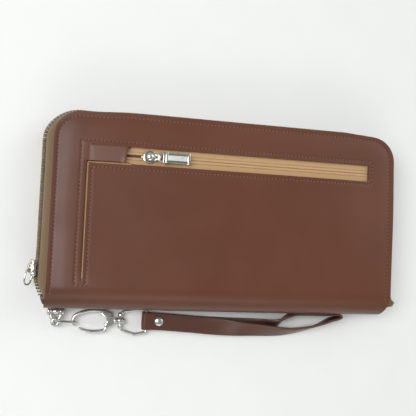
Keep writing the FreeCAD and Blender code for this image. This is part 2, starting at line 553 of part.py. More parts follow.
def strap():
    ribbon = strap_ribbon()
    inner, outer = RING_WIRE + 0.15, RING_WIRE + 0.15 + STRAP_T
    x1 = STRAP_ROUTE[0][0]
    top, low = STRAP_ROUTE[0][2], STRAP_ROUTE[-1][2]
    h = STRAP_T / 2
    y0 = STRAP_ROUTE[0][1] - STRAP_W / 2

    def p(x, z):
        return V(x, y0, z)
    edges = [
        Part.LineSegment(p(x1, top + h), p(BAR_X, HW_Z + outer)),
        Part.Arc(p(BAR_X, HW_Z + outer), p(BAR_X - outer, HW_Z), p(BAR_X, HW_Z - outer)),
        Part.LineSegment(p(BAR_X, HW_Z - outer), p(x1, low - h)),
        Part.LineSegment(p(x1, low - h), p(x1, low + h)),
        Part.LineSegment(p(x1, low + h), p(BAR_X + 0.6, HW_Z - inner)),
        Part.LineSegment(p(BAR_X + 0.6, HW_Z - inner), p(BAR_X, HW_Z - inner)),
        Part.Arc(p(BAR_X, HW_Z - inner), p(BAR_X - inner, HW_Z), p(BAR_X, HW_Z + inner)),
        Part.LineSegment(p(BAR_X, HW_Z + inner), p(BAR_X + 0.6, HW_Z + inner)),
        Part.LineSegment(p(BAR_X + 0.6, HW_Z + inner), p(x1, top - h)),
        Part.LineSegment(p(x1, top - h), p(x1, top + h)),
    ]
    fold = Part.Face(Part.Wire([e.toShape() for e in edges])).extrude(V(0, STRAP_W, 0))
    whole = fuse([fold, ribbon])
    rivet_x, rivet_y = -35.2, -60.8
    hole = cylinder(1.0, (rivet_x, rivet_y, -1), (rivet_x, rivet_y, 9))
    parts["wrist_strap"] = whole.cut(hole)
    parts["strap_rivet_post"] = cylinder(1.0, (rivet_x, rivet_y, 1.25), (rivet_x, rivet_y, 5.25))
    cap = Part.makeSphere(3.4, V(rivet_x, rivet_y, 3.18))
    cap = cap.common(box(rivet_x - 5, rivet_x + 5, rivet_y - 5, rivet_y + 5, 5.25, 8))
    low_cap = cylinder(2.5, (rivet_x, rivet_y, 0.6), (rivet_x, rivet_y, 1.2))
    parts["strap_rivet_cap"] = cap
    parts["strap_rivet_back"] = low_cap


def main():
    covers()
    cover_layers()
    gussets()
    main_zip()
    main_slider()
    pocket_zip()
    pocket_slider()
    coin_pocket()
    anchor()
    connecting_link()
    gate_x, gate_y, base_x = clasp()
    swivel(base_x)
    strap()
    os.makedirs("parts", exist_ok=True)
    for name, shape in sorted(parts.items()):
        bad = [s for s in shape.Solids if not s.isValid() or s.Volume <= 0]
        print(f"{name:26s} solids {len(shape.Solids)} volume {shape.Volume:10.2f}"
              f"{'  INVALID' if bad or not shape.isValid() else ''}")
        shape.exportStep(f"parts/{name}.step")
    print("gate pivot", round(gate_x, 2), round(gate_y, 2), "base", round(base_x, 2), len(parts))


main()
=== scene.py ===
import json
import math
import bpy
import bmesh
import numpy as np
from mathutils import Matrix, Vector


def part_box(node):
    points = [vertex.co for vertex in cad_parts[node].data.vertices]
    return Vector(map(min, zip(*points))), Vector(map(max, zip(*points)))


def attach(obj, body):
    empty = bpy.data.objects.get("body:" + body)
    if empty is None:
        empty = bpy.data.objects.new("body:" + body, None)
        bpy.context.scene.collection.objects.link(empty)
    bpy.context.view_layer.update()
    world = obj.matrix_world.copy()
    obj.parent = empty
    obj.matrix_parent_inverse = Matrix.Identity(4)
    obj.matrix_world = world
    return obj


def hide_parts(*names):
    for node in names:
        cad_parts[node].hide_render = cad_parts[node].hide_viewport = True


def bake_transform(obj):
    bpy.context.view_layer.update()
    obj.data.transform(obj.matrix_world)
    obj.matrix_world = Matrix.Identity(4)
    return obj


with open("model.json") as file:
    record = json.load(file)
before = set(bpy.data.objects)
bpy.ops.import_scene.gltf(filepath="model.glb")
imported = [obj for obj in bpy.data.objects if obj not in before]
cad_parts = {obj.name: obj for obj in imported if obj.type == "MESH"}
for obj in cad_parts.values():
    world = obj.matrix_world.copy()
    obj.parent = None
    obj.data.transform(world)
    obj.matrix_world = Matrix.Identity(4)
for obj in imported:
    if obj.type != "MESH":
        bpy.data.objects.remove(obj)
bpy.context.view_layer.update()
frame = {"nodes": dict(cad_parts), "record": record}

# Looks of the long zip-round wallet.  Lengths here are millimetres in the row frame: +X along
# the wallet, +Y from the spine to the long zipped side, +Z up through the front cover.
MM = 0.001
rng = np.random.default_rng(7)


def span(node):
    """Lowest and highest corner of a CAD node, in mm."""
    low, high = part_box(node)
    return np.array(low) / MM, np.array(high) / MM


# ---------------------------------------------------------------- sizes from the frame
HALF_L, HALF_H, THICK = span("front_cover_leather")[1]
MID_Z = THICK / 2
SPINE_R = THICK / 2
CREASE_Y = span("back_cover_leather")[0][1]
CORNER = 15.5
LEATHER = 1.5
TAPE_MARGIN = 3.0
WIN_X0 = span("pocket_zip_tape_upper")[0][0] + TAPE_MARGIN
WIN_X1 = span("pocket_zip_tape_upper")[1][0] - TAPE_MARGIN
WIN_Y0 = span("pocket_zip_tape_lower")[0][1] + TAPE_MARGIN
WIN_Y1 = span("pocket_zip_tape_upper")[1][1] - TAPE_MARGIN
POCKET_Y = (WIN_Y0 + WIN_Y1) / 2
SLIT_L, SLIT_R, SLIT_LOW = -82.15, -81.95, -38.6
TONGUE_X, TONGUE_Y0, TONGUE_Y1 = -60.4, WIN_Y0 + 0.6, WIN_Y1 - 0.2
OUT_LEFT = -span("main_zip_coil_front")[0][0] - HALF_L
OUT_TOP = span("main_zip_coil_front")[1][1] - HALF_H
OUT_RIGHT = span("main_zip_coil_front")[1][0] - HALF_L


# ---------------------------------------------------------------- mesh tools
def smooth(t):
    t = np.clip(t, 0.0, 1.0)
    return t * t * (3 - 2 * t)


def unit(v):
    v = np.asarray(v, float)
    return v / (np.linalg.norm(v) or 1.0)


def slump(verts):
    """The stuffed covers sag a little at the top corners and bow out on the right side."""
    v = np.array(verts, float)
    x, y = v[:, 0].copy(), v[:, 1].copy()
    high = smooth((y - 36) / 14)
    v[:, 1] -= high * (1.15 * np.exp(-((x + 80) / 15) ** 2) + 0.85 * np.exp(-((x - 86) / 9) ** 2))
    v[:, 0] += 0.7 * np.exp(-((y - 3) / 28) ** 2) * smooth((x - 84) / 12)
    return v


class Build:
    """Vertices in mm and faces with a material index, gathered into one piece."""

    def __init__(self):
        self.verts, self.faces, self.mats, self.uvs = [], [], [], []

    def add(self, shape, mat=0, matrix=None, uv=None):
        verts, faces = shape
        verts = np.asarray(verts, float)
        if matrix is not None:
            m = np.array(matrix)
            verts = verts @ m[:3, :3].T + m[:3, 3]
        base = len(self.verts)
        self.verts.extend(verts.tolist())
        self.faces.extend([tuple(base + i for i in f) for f in faces])
        self.mats.extend([mat] * len(faces))
        self.uvs.extend(uv if uv is not None else [(v[0], v[1]) for v in verts])
        return self

    def make(self, name, materials, body=None, slot=None, replaces=(), bevel=None, subsurf=0,
             angle=40, blend=False):
        mesh = bpy.data.meshes.new(name)
        verts = slump(self.verts) if blend or body in ("front", "back") else np.array(self.verts)
        mesh.from_pydata((verts * MM).tolist(), [], self.faces)
        for material in materials:
            mesh.materials.append(material)
        mesh.polygons.foreach_set("material_index", self.mats)
        layer = mesh.uv_layers.new(name="UVMap")
        loops = np.zeros(len(mesh.loops), np.int32)
        mesh.loops.foreach_get("vertex_index", loops)
        layer.data.foreach_set("uv", (np.array(self.uvs, float) * MM)[loops].ravel())
        mesh.update()
        piece = bpy.data.objects.new(name, mesh)
        bpy.context.scene.collection.objects.link(piece)
        if bevel:
            mod = piece.modifiers.new("edge", "BEVEL")
            mod.width, mod.segments, mod.limit_method = bevel * MM, 2, "ANGLE"
            mod.angle_limit = math.radians(angle)
        if subsurf:
            mod = piece.modifiers.new("round", "SUBSURF")
            mod.levels = mod.render_levels = subsurf
        settle(piece)
        if blend:
            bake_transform(piece)
        else:
            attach(piece, body)
        if replaces:
            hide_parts(*replaces)
        return piece


def settle(piece):
    """Applies the modifiers and shades the mesh smooth, with its sharp folds kept."""
    graph = bpy.context.evaluated_depsgraph_get()
    mesh = bpy.data.meshes.new_from_object(piece.evaluated_get(graph))
    mesh.name = piece.name
    piece.modifiers.clear()
    old, piece.data = piece.data, mesh
    bpy.data.meshes.remove(old)
    mesh.polygons.foreach_set("use_smooth", [True] * len(mesh.polygons))
    mesh.set_sharp_from_angle(angle=math.radians(38))
    mesh.update()


def tube(points, radius, sides=12, closed=False, up=(0, 0, 1), flat=1.0):
    """A round or oval wire along points; radius is one number or one per point."""
    points = np.asarray(points, float)
    n = len(points)
    radii = np.full(n, radius, float) if np.isscalar(radius) else np.asarray(radius, float)
    verts, faces = [], []
    for i, p in enumerate(points):
        a = points[i - 1] if (i or closed) else p
        b = points[(i + 1) % n] if (i < n - 1 or closed) else p
        t = unit(b - a)
        ref = unit(up) if abs(np.dot(t, unit(up))) < 0.95 else np.array([1.0, 0, 0])
        side = unit(np.cross(t, ref))
        high = np.cross(side, t)
        for k in range(sides):
            q = 2 * math.pi * k / sides
            verts.append(p + side * math.cos(q) * radii[i] + high * math.sin(q) * radii[i] * flat)
    for i in range(n if closed else n - 1):
        j = (i + 1) % n
        for k in range(sides):
            m = (k + 1) % sides
            faces.append((i * sides + k, i * sides + m, j * sides + m, j * sides + k))
    if not closed:
        faces.append(tuple(range(sides)))
        faces.append(tuple((n - 1) * sides + k for k in reversed(range(sides))))
    return verts, faces


def lathe(profile, origin, axis=(0, 0, 1), sides=32):
    """A turned shape: profile lists (radius, height) along the axis from the origin."""
    axis = unit(axis)
    ref = np.array([0, 0, 1.0]) if abs(axis[2]) < 0.9 else np.array([1.0, 0, 0])
    u = unit(np.cross(axis, ref))
    w = np.cross(axis, u)
    verts, faces = [], []
    for r, h in profile:
        for k in range(sides):
            q = 2 * math.pi * k / sides
            verts.append(np.asarray(origin, float) + axis * h + (u * math.cos(q) + w * math.sin(q)) * r)
    for i in range(len(profile) - 1):
        for k in range(sides):
            m = (k + 1) % sides
            faces.append((i * sides + k, i * sides + m, (i + 1) * sides + m, (i + 1) * sides + k))
    faces.append(tuple(reversed(range(sides))))
    faces.append(tuple((len(profile) - 1) * sides + k for k in range(sides)))
    return verts, faces


def ball(centre, radius, sides=20, rings=12, axis=(0, 0, 1)):
    profile = [(max(radius * math.sin(math.pi * i / rings), 0.01),
                -radius * math.cos(math.pi * i / rings)) for i in range(rings + 1)]
    return lathe(profile, centre, axis, sides)


def block(x0, x1, y0, y1, z0, z1, bevel=0.2, segments=2):
    """A box with rounded edges."""
    bm = bmesh.new()
    bmesh.ops.create_cube(bm, size=1.0)
    for v in bm.verts:
        v.co = Vector(((x0 + x1) / 2 + v.co.x * (x1 - x0), (y0 + y1) / 2 + v.co.y * (y1 - y0),
                       (z0 + z1) / 2 + v.co.z * (z1 - z0)))
    if bevel:
        bmesh.ops.bevel(bm, geom=bm.edges[:], offset=bevel, segments=segments, affect="EDGES",
                        profile=0.6)
    bm.verts.index_update()
    shape = [tuple(v.co) for v in bm.verts], [tuple(v.index for v in f.verts) for f in bm.faces]
    bm.free()
    return shape


def plate(outline, z0, z1, bevel=0.2, segments=2):
    """A flat shape from its outline in the XY plane, with its rims rounded."""
    bm = bmesh.new()
    low = [bm.verts.new((x, y, z0)) for x, y in outline]
    face = bm.faces.new(low)
    made = bmesh.ops.extrude_face_region(bm, geom=[face])
    for item in made["geom"]:
        if isinstance(item, bmesh.types.BMVert):
            item.co.z = z1
    bmesh.ops.recalc_face_normals(bm, faces=bm.faces[:])
    rims = [e for e in bm.edges if abs(e.verts[0].co.z - e.verts[1].co.z) < 1e-6]
    if bevel:
        bmesh.ops.bevel(bm, geom=rims, offset=bevel, segments=segments, affect="EDGES", profile=0.6)
    bm.verts.index_update()
    shape = [tuple(v.co) for v in bm.verts], [tuple(v.index for v in f.verts) for f in bm.faces]
    bm.free()
    return shape


def curve(points, step=0.5, closed=False):
    """A smooth line through points, sampled about every step mm."""
    p = np.asarray(points, float)
    n = len(p)
    out = []
    for i in range(n if closed else n - 1):
        a = p[(i - 1) % n] if (closed or i) else 2 * p[0] - p[1]
        b, c = p[i], p[(i + 1) % n]
        d = p[(i + 2) % n] if (closed or i < n - 2) else 2 * p[-1] - p[-2]
        count = max(2, int(np.linalg.norm(c - b) / step))
        for k in range(count):
            t = k / count
            out.append(0.5 * (2 * b + (c - a) * t + (2 * a - 5 * b + 4 * c - d) * t * t
                              + (3 * b - a - 3 * c + d) * t ** 3))
    if not closed:
        out.append(p[-1])
    return np.array(out)


def evenly(path, pitch, start=0.0):
    """Points at an even pitch along a line, with the direction there."""
    path = np.asarray(path, float)
    legs = np.linalg.norm(np.diff(path, axis=0), axis=1)
    run = np.concatenate([[0], np.cumsum(legs)])
    at = np.arange(start, run[-1], pitch)
    spots = np.stack([np.interp(at, run, path[:, k]) for k in range(path.shape[1])], 1)
    ahead = np.stack([np.interp(at + 0.3, run, path[:, k]) for k in range(path.shape[1])], 1)
    behind = np.stack([np.interp(at - 0.3, run, path[:, k]) for k in range(path.shape[1])], 1)
    return spots, ahead - behind


def placed(x_dir, y_dir, z_dir, origin=(0, 0, 0)):
    """Matrix with the given axes and origin."""
    m = np.eye(4)
    m[:3, 0], m[:3, 1], m[:3, 2], m[:3, 3] = x_dir, y_dir, z_dir, origin
    return m


def axes(origin, x_dir, z_dir):
    """Matrix that puts a shape's X along x_dir and its Z near z_dir, at origin."""
    x = unit(x_dir)
    y = unit(np.cross(z_dir, x))
    return placed(x, y, np.cross(x, y), origin)


def mirrored(half):
    """A closed outline from its lower half: the upper half is its mirror image, run backwards."""
    return half + [(a, -c) for a, c in reversed(half)]


def grid_faces(rows, columns, ring=False, flip=False):
    """Faces between rows of points; ring joins the two ends of each row."""
    faces = []
    for i in range(rows - 1):
        for k in range(columns if ring else columns - 1):
            q = (k + 1) % columns
            face = (i * columns + k, (i + 1) * columns + k, (i + 1) * columns + q, i * columns + q)
            faces.append(face[::-1] if flip else face)
    return faces


def circle(centre, radius, step, u=(1, 0, 0), v=(0, 1, 0)):
    """Points round a circle, one every step degrees, in the plane of u and v."""
    centre, u, v = (np.asarray(w, float) for w in (centre, u, v))
    return [centre + radius * (math.cos(a) * u + math.sin(a) * v)
            for a in np.radians(np.arange(0, 360, step))]


# ---------------------------------------------------------------- materials
class Nodes:
    """Short hand for one node material."""

    def __init__(self, name):
        self.material = bpy.data.materials.new(name)
        self.material.use_nodes = True
        self.tree = self.material.node_tree
        self.shader = self.tree.nodes["Principled BSDF"]

    def new(self, kind, inputs=None, **settings):
        node = self.tree.nodes.new(kind)
        for key, value in settings.items():
            setattr(node, key, value)
        for key, value in (inputs or {}).items():
            self.put(node.inputs[key], value)
        return node

    def put(self, socket, value):
        if isinstance(value, bpy.types.NodeSocket):
            self.tree.links.new(value, socket)
        else:
            socket.default_value = value

    def set(self, **values):
        for key, value in values.items():
            self.put(self.shader.inputs[key.replace("_", " ")], value)

    def place(self, uv=False):
        return self.new("ShaderNodeTexCoord").outputs["UV" if uv else "Object"]

    def noise(self, scale, detail=4.0, rough=0.55, uv=False, stretch=None):
        where = self.place(uv)
        if stretch:
            where = self.new("ShaderNodeMapping", {"Vector": where, "Scale": stretch}).outputs[0]
        return self.new("ShaderNodeTexNoise", {"Vector": where, "Scale": scale, "Detail": detail,
                                               "Roughness": rough}).outputs["Fac"]

    def cells(self, scale, feature="F1"):
        return self.new("ShaderNodeTexVoronoi", {"Vector": self.place(), "Scale": scale},
                        feature=feature).outputs["Distance"]

    def wave(self, scale, direction="X", uv=False, distortion=0.0):
        return self.new("ShaderNodeTexWave", {"Vector": self.place(uv), "Scale": scale,
                                              "Distortion": distortion, "Detail": 1.0},
                        bands_direction=direction).outputs["Fac"]

    def ramp(self, value, stops):
        node = self.new("ShaderNodeValToRGB", {"Fac": value})
        ramp = node.color_ramp
        ramp.elements[0].position, ramp.elements[0].color = stops[0][0], (*stops[0][1], 1)
        ramp.elements[1].position, ramp.elements[1].color = stops[-1][0], (*stops[-1][1], 1)
        for at, colour in stops[1:-1]:
            ramp.elements.new(at).color = (*colour, 1)
        return node.outputs["Color"]

    def fit(self, value, low, high, a, b):
        return self.new("ShaderNodeMapRange", {"Value": value, "From Min": low, "From Max": high,
                                               "To Min": a, "To Max": b}).outputs["Result"]

    def maths(self, operation, a, b):
        return self.new("ShaderNodeMath", {0: a, 1: b}, operation=operation).outputs[0]

    def bump(self, height, strength, distance, normal=None):
        inputs = {"Height": height, "Strength": strength, "Distance": distance * MM}
        if normal is not None:
            inputs["Normal"] = normal
        return self.new("ShaderNodeBump", inputs).outputs["Normal"]


def leather(name, light, dark, rough=0.40, grain=1.0, coat=0.12, shine=0.5, margin=False):
    """Smooth finished leather: fine pores, faint creases and slow changes of tone."""
    n = Nodes(name)
    tone = n.noise(22, 3, 0.5)
    pores = n.cells(1500)
    fine = n.noise(2600, 3, 0.6)
    slow = n.noise(60, 5, 0.6)
    colour = n.ramp(n.maths("ADD", n.maths("MULTIPLY", tone, 0.7), n.maths("MULTIPLY", fine, 0.3)),
                    [(0.28, dark), (0.72, light)])
    if margin:
        # painted shade: the base colour is scaled darker towards the margin on the chain's side,
        # standing in for shade there
        x = n.new("ShaderNodeSeparateXYZ", {0: n.place()}).outputs["X"]
        wear_and_painted_shade = n.new("ShaderNodeMapRange", {"Value": x, "From Min": -0.1, "From Max": -0.070,
                                            "To Min": 0.80, "To Max": 1.0},
                     interpolation_type="SMOOTHSTEP").outputs["Result"]
        colour = n.new("ShaderNodeVectorMath", {0: colour, "Scale": wear_and_painted_shade},
                       operation="SCALE").outputs[0]
    normal = n.bump(slow, 0.12, 0.5)
    normal = n.bump(pores, 0.10 * grain, 0.08, normal)
    normal = n.bump(fine, 0.10 * grain, 0.05, normal)
    n.set(Base_Color=colour, Roughness=n.fit(slow, 0.3, 0.7, rough - 0.05, rough + 0.06),
          Normal=normal)
    n.set(Coat_Weight=coat, Coat_Roughness=0.28, Specular_IOR_Level=shine)
    return n.material


def raw_edge(name, light, dark, scale=1500):
    """Cut leather or painted edge: short fibres."""
    n = Nodes(name)
    fibre = n.noise(scale, 5, 0.7, stretch=(1, 1, 4))
    n.set(Base_Color=n.ramp(fibre, [(0.3, dark), (0.7, light)]), Roughness=0.75,
          Normal=n.bump(fibre, 0.5, 0.12))
    return n.material


def edge_paint(name, light, dark):
    """Glossy painted edge of cut leather, a little uneven."""
    n = Nodes(name)
    blot = n.noise(500, 4, 0.6)
    n.set(Base_Color=n.ramp(blot, [(0.3, dark), (0.7, light)]),
          Roughness=n.fit(blot, 0.3, 0.7, 0.30, 0.45), Normal=n.bump(blot, 0.25, 0.1))
    n.set(Coat_Weight=0.2, Coat_Roughness=0.2)
    return n.material


def thread(name, light, dark):
    n = Nodes(name)
    twist = n.noise(3500, 2, 0.5, stretch=(1, 1, 0.4))
    n.set(Base_Color=n.ramp(twist, [(0.3, dark), (0.7, light)]), Roughness=0.62,
          Sheen_Weight=0.25, Normal=n.bump(twist, 0.6, 0.08))
    return n.material


def tape(name, light, dark, ribs=0.55, yarn=0.5):
    """Woven zip tape: ribs along its length and fine yarns across, in UV measured in metres."""
    n = Nodes(name)
    rib = n.wave(1000 / (ribs * 6.2832) * 2, "Y", uv=True, distortion=0.4)
    cross = n.wave(1000 / (yarn * 6.2832) * 2, "DIAGONAL", uv=True, distortion=0.3)
    weave = n.maths("MULTIPLY", rib, cross)
    fuzz = n.noise(1800, 4, 0.7)
    mixed = n.maths("ADD", n.maths("MULTIPLY", weave, 0.5), n.maths("MULTIPLY", fuzz, 0.5))
    n.set(Base_Color=n.ramp(mixed, [(0.18, dark), (0.55, light)]), Roughness=0.78,
          Sheen_Weight=0.2, Normal=n.bump(weave, 0.55, 0.12))
    return n.material


def metal(name, colour, rough=0.14, wear_and_painted_shade=0.10, solid=0.92):
    """Plated metal with faint wear and a few dull patches."""
    n = Nodes(name)
    patch = n.noise(240, 5, 0.65)
    scratch = n.noise(1200, 3, 0.6, stretch=(1, 8, 1))
    dull = tuple(c * 0.86 for c in colour)
    n.set(Base_Color=n.ramp(patch, [(0.25, dull), (0.6, colour)]), Metallic=solid,
          Roughness=n.fit(patch, 0.3, 0.75, rough, rough + wear_and_painted_shade),
          Normal=n.bump(scratch, 0.03, 0.02))
    return n.material


def coil_plastic(name, light, dark, rough=0.35, metallic=0.0):
    n = Nodes(name)
    wear_and_painted_shade = n.noise(900, 4, 0.6)
    n.set(Base_Color=n.ramp(wear_and_painted_shade, [(0.3, dark), (0.68, light)]), Metallic=metallic,
          Roughness=n.fit(wear_and_painted_shade, 0.3, 0.7, rough, rough + 0.15), Normal=n.bump(wear_and_painted_shade, 0.2, 0.05))
    return n.material


def cloth(name, light, dark, pitch=0.5):
    """Plain woven lining."""
    n = Nodes(name)
    across = n.wave(1000 / (pitch * 6.2832) * 2, "X")
    along = n.wave(1000 / (pitch * 6.2832) * 2, "Y")
    weave = n.maths("MAXIMUM", across, along)
    fuzz = n.noise(1500, 4, 0.7)
    mixed = n.maths("ADD", n.maths("MULTIPLY", weave, 0.4), n.maths("MULTIPLY", fuzz, 0.6))
    n.set(Base_Color=n.ramp(mixed, [(0.25, dark), (0.7, light)]), Roughness=0.85,
          Sheen_Weight=0.3, Normal=n.bump(weave, 0.4, 0.1))
    return n.material


# margin=True paints shade into the outer leather's left margin
OUTER = leather("outer_leather", (0.128, 0.043, 0.022), (0.098, 0.031, 0.015), rough=0.40, coat=0.02,
                shine=0.40, margin=True)
INNER = leather("inner_leather", (0.16, 0.075, 0.042), (0.12, 0.052, 0.028), rough=0.5)
DARK = leather("dark_leather", (0.055, 0.022, 0.013), (0.034, 0.013, 0.008), rough=0.45)
STRAP = leather("strap_leather", (0.105, 0.038, 0.023), (0.070, 0.024, 0.014), rough=0.40)
FLESH = raw_edge("leather_flesh_side", (0.36, 0.24, 0.15), (0.24, 0.15, 0.09), 700)
TAN_EDGE = raw_edge("raw_tan_edge", (0.46, 0.30, 0.16), (0.17, 0.09, 0.045))
PAINT_EDGE = edge_paint("painted_edge", (0.120, 0.052, 0.036), (0.070, 0.028, 0.019))
THREAD = thread("terracotta_thread", (0.235, 0.098, 0.050), (0.13, 0.052, 0.027))
# dark discs that paint the shade inside the stitch holes
HOLE_SHADE = raw_edge("stitch_hole_shade", (0.03, 0.012, 0.009), (0.012, 0.006, 0.005))
TAN_TAPE = tape("tan_zip_tape", (0.60, 0.39, 0.20), (0.42, 0.26, 0.125))
OLIVE_TAPE = tape("olive_zip_tape", (0.215, 0.138, 0.058), (0.125, 0.078, 0.032))
# darker copy of the olive tape: painted shade where the tape shows between the chain's teeth
SHADED_OLIVE_RIM = tape("painted_shade_olive_rim", (0.115, 0.078, 0.036), (0.05, 0.034, 0.017))
TAN_COIL = coil_plastic("tan_coil", (0.46, 0.29, 0.14), (0.28, 0.17, 0.08), rough=0.45)
BRASS_COIL = coil_plastic("old_brass_coil", (0.29, 0.21, 0.108), (0.06, 0.042, 0.02), 0.36, 0.2)
OLD_BRASS = metal("old_brass_plate", (0.42, 0.39, 0.28), rough=0.22)
CHROME = metal("polished_metal", (0.70, 0.705, 0.68), rough=0.12, wear_and_painted_shade=0.05)
NICKEL = metal("nickel_metal", (0.62, 0.615, 0.58), rough=0.15, wear_and_painted_shade=0.06, solid=0.80)
# shaded and lit copies of the plate metal for the pull's barrel face: painted shade and painted
# highlight
SHADED = metal("shaded_metal", (0.40, 0.41, 0.35), rough=0.20, wear_and_painted_shade=0.06)
HIGHLIGHT_METAL = metal("painted_highlight_metal", (0.83, 0.83, 0.79), rough=0.26, wear_and_painted_shade=0.05, solid=0.40)
LINING = cloth("lining_fabric", (0.20, 0.155, 0.12), (0.12, 0.09, 0.07))
BOARD = raw_edge("fibre_board", (0.40, 0.34, 0.27), (0.28, 0.23, 0.18), 500)


def fitting(b, name, body, node, look=NICKEL, slot="nickel_metal"):
    """A metal piece that takes the place of one CAD node."""
    return b.make(name, [look], body=body, slot=slot, replaces=(node,))


SLOT_LOOK = {
    "outer_leather": OUTER, "dark_leather": DARK, "strap_leather": STRAP, "board": BOARD,
    "lining_fabric": LINING, "inner_leather": INNER, "tan_tape": TAN_TAPE, "tan_coil": TAN_COIL,
    "olive_tape": OLIVE_TAPE, "brass_coil": BRASS_COIL, "polished_metal": CHROME,
    "nickel_metal": NICKEL,
}


def dress_cad():
    """Every CAD node gets the look of its slot; the pieces below replace most of them."""
    slots = {s["node"]: s["material_slot"] for s in frame["record"]["subparts"]}
    for name, node in frame["nodes"].items():
        node.data.materials.clear()
        node.data.materials.append(SLOT_LOOK[slots[name]])


# ---------------------------------------------------------------- the outer leather
def rim_distance(x, y):
    """How far a point of a cover is inside the round-cornered outline."""
    ax = np.abs(x)
    straight = np.minimum(HALF_L - ax, HALF_H - y)
    corner = CORNER - np.hypot(ax - (HALF_L - CORNER), y - (HALF_H - CORNER))
    in_corner = (ax > HALF_L - CORNER) & (y > HALF_H - CORNER)
    return np.where(in_corner, corner, straight)


def half_width(y):
    """Half the cover's length at a height y, shorter through the round corners."""
    rise = np.clip(y - (HALF_H - CORNER), 0, CORNER)
    return HALF_L - CORNER + np.sqrt(np.maximum(CORNER ** 2 - rise ** 2, 0))


def groove(distance, depth=0.13, width=0.65):
    return -depth * np.exp(-(distance / width) ** 2)


STITCH_LEFT, STITCH_TOP, STITCH_RIGHT = 2.5, 2.6, 3.2
FRAME_STITCH_X, PANEL_STITCH_X = -85.3, -79.3


def panel_stitch_y(x):
    """The pocket panel's top seam runs a little closer to the window towards the right."""
    return WIN_Y0 - 2.9 + 1.0 * (x - WIN_X0) / (WIN_X1 - WIN_X0)


def front_z(x, y):
    """Height of the front cover's outer surface."""
    x, y = np.asarray(x, float), np.asarray(y, float)
    drop = np.clip(CREASE_Y - y, 0, SPINE_R - 0.01)
    z = MID_Z + np.sqrt(SPINE_R ** 2 - drop ** 2)
    inside = rim_distance(x, y)
    left = x + HALF_L
    # the covers are stuffed: they fall to the seam, and the margin outside it lies flat
    past = np.clip(inside - STITCH_LEFT + 0.3, 0, 99)
    z = z + 0.45 * smooth(inside / 30) - 0.36 * (1 - smooth(past / 9.0)) ** 2
    z = z - 0.36 * (1 - smooth(np.clip(left - STITCH_LEFT + 0.3, 0, 99) / 12)) ** 1.5
    z = z + 0.10 * np.clip(1 - inside / STITCH_LEFT, 0, 1)
    # soft hollows and swells of leather over the stuffed pocket
    z = z + 0.10 * np.sin(x / 23 + 0.6) * np.cos(y / 17) + 0.07 * np.sin(x / 9.0 + y / 13.0)
    panel = (x > SLIT_L + 0.3) & (y < WIN_Y0 + 0.3)
    lift = 0.62 * np.exp(-np.clip(x - SLIT_R, 0, 99) / 5.0)
    lift = lift * smooth((y - SLIT_LOW) / 12) + 0.30 * np.exp(-np.clip(WIN_Y0 - y, 0, 99) / 4.0) \
        * smooth((WIN_X1 + 3 - x) / 25)
    z = z + np.where(panel, lift, 0)
    sink = -0.35 * np.exp(-np.clip(SLIT_L - x, 0, 99) / 2.0) * smooth((y - SLIT_LOW) / 6)
    z = z + np.where((x < SLIT_L + 0.3) & (y < TONGUE_Y0), sink, 0)
    tongue = (x > WIN_X0 - 1) & (x < TONGUE_X + 0.5) & (y > TONGUE_Y0 - 0.1) & (y < TONGUE_Y1 + 0.1)
    along = (x - WIN_X0) / (TONGUE_X - WIN_X0)
    bow = 0.15 * smooth(along * 4) + 1.9 * np.clip(along - 0.12, 0, 1) ** 1.1
    z = z + np.where(tongue, bow - 0.15 * np.exp(-((along - 0.14) / 0.06) ** 2), 0)
    return z


def front_groove(x, y):
    """Sunken lines under the stitching."""
    inset = np.where(x < 0, STITCH_LEFT, STITCH_RIGHT)
    inset = np.where(HALF_H - y < 9, STITCH_TOP, inset)
    z = groove(rim_distance(x, y) - inset)
    z = z + groove(x - FRAME_STITCH_X) * ((y > SLIT_LOW - 2) & (y < WIN_Y1 + 2))
    z = z + groove(x - PANEL_STITCH_X) * ((y > SLIT_LOW - 2) & (y < WIN_Y0 - 2.5))
    z = z + groove(y - panel_stitch_y(x)) * ((x > PANEL_STITCH_X) & (x < WIN_X1 + 2.2))
    z = z + groove(y - WIN_Y1 - 2.1) * ((x > FRAME_STITCH_X) & (x < WIN_X1 + 2.2))
    return z


def spaced(*runs):
    """Grid positions from (start, end, step) runs joined end to end."""
    values = []
    for start, end, step in runs:
        count = max(1, int(round(abs(end - start) / step)))
        values.extend(np.linspace(start, end, count + 1)[:-1])
    values.append(runs[-1][1])
    return np.array(values)


LEATHER_LOOK = [OUTER, TAN_EDGE, PAINT_EDGE, FLESH]
FACE, RAW, PAINTED, BACKING = range(4)
BELOW_CUTS = -99.0                        # stands for the y of a row without cuts
SEAM_ROW = 8                              # spine row where the two parts meet, counted from below


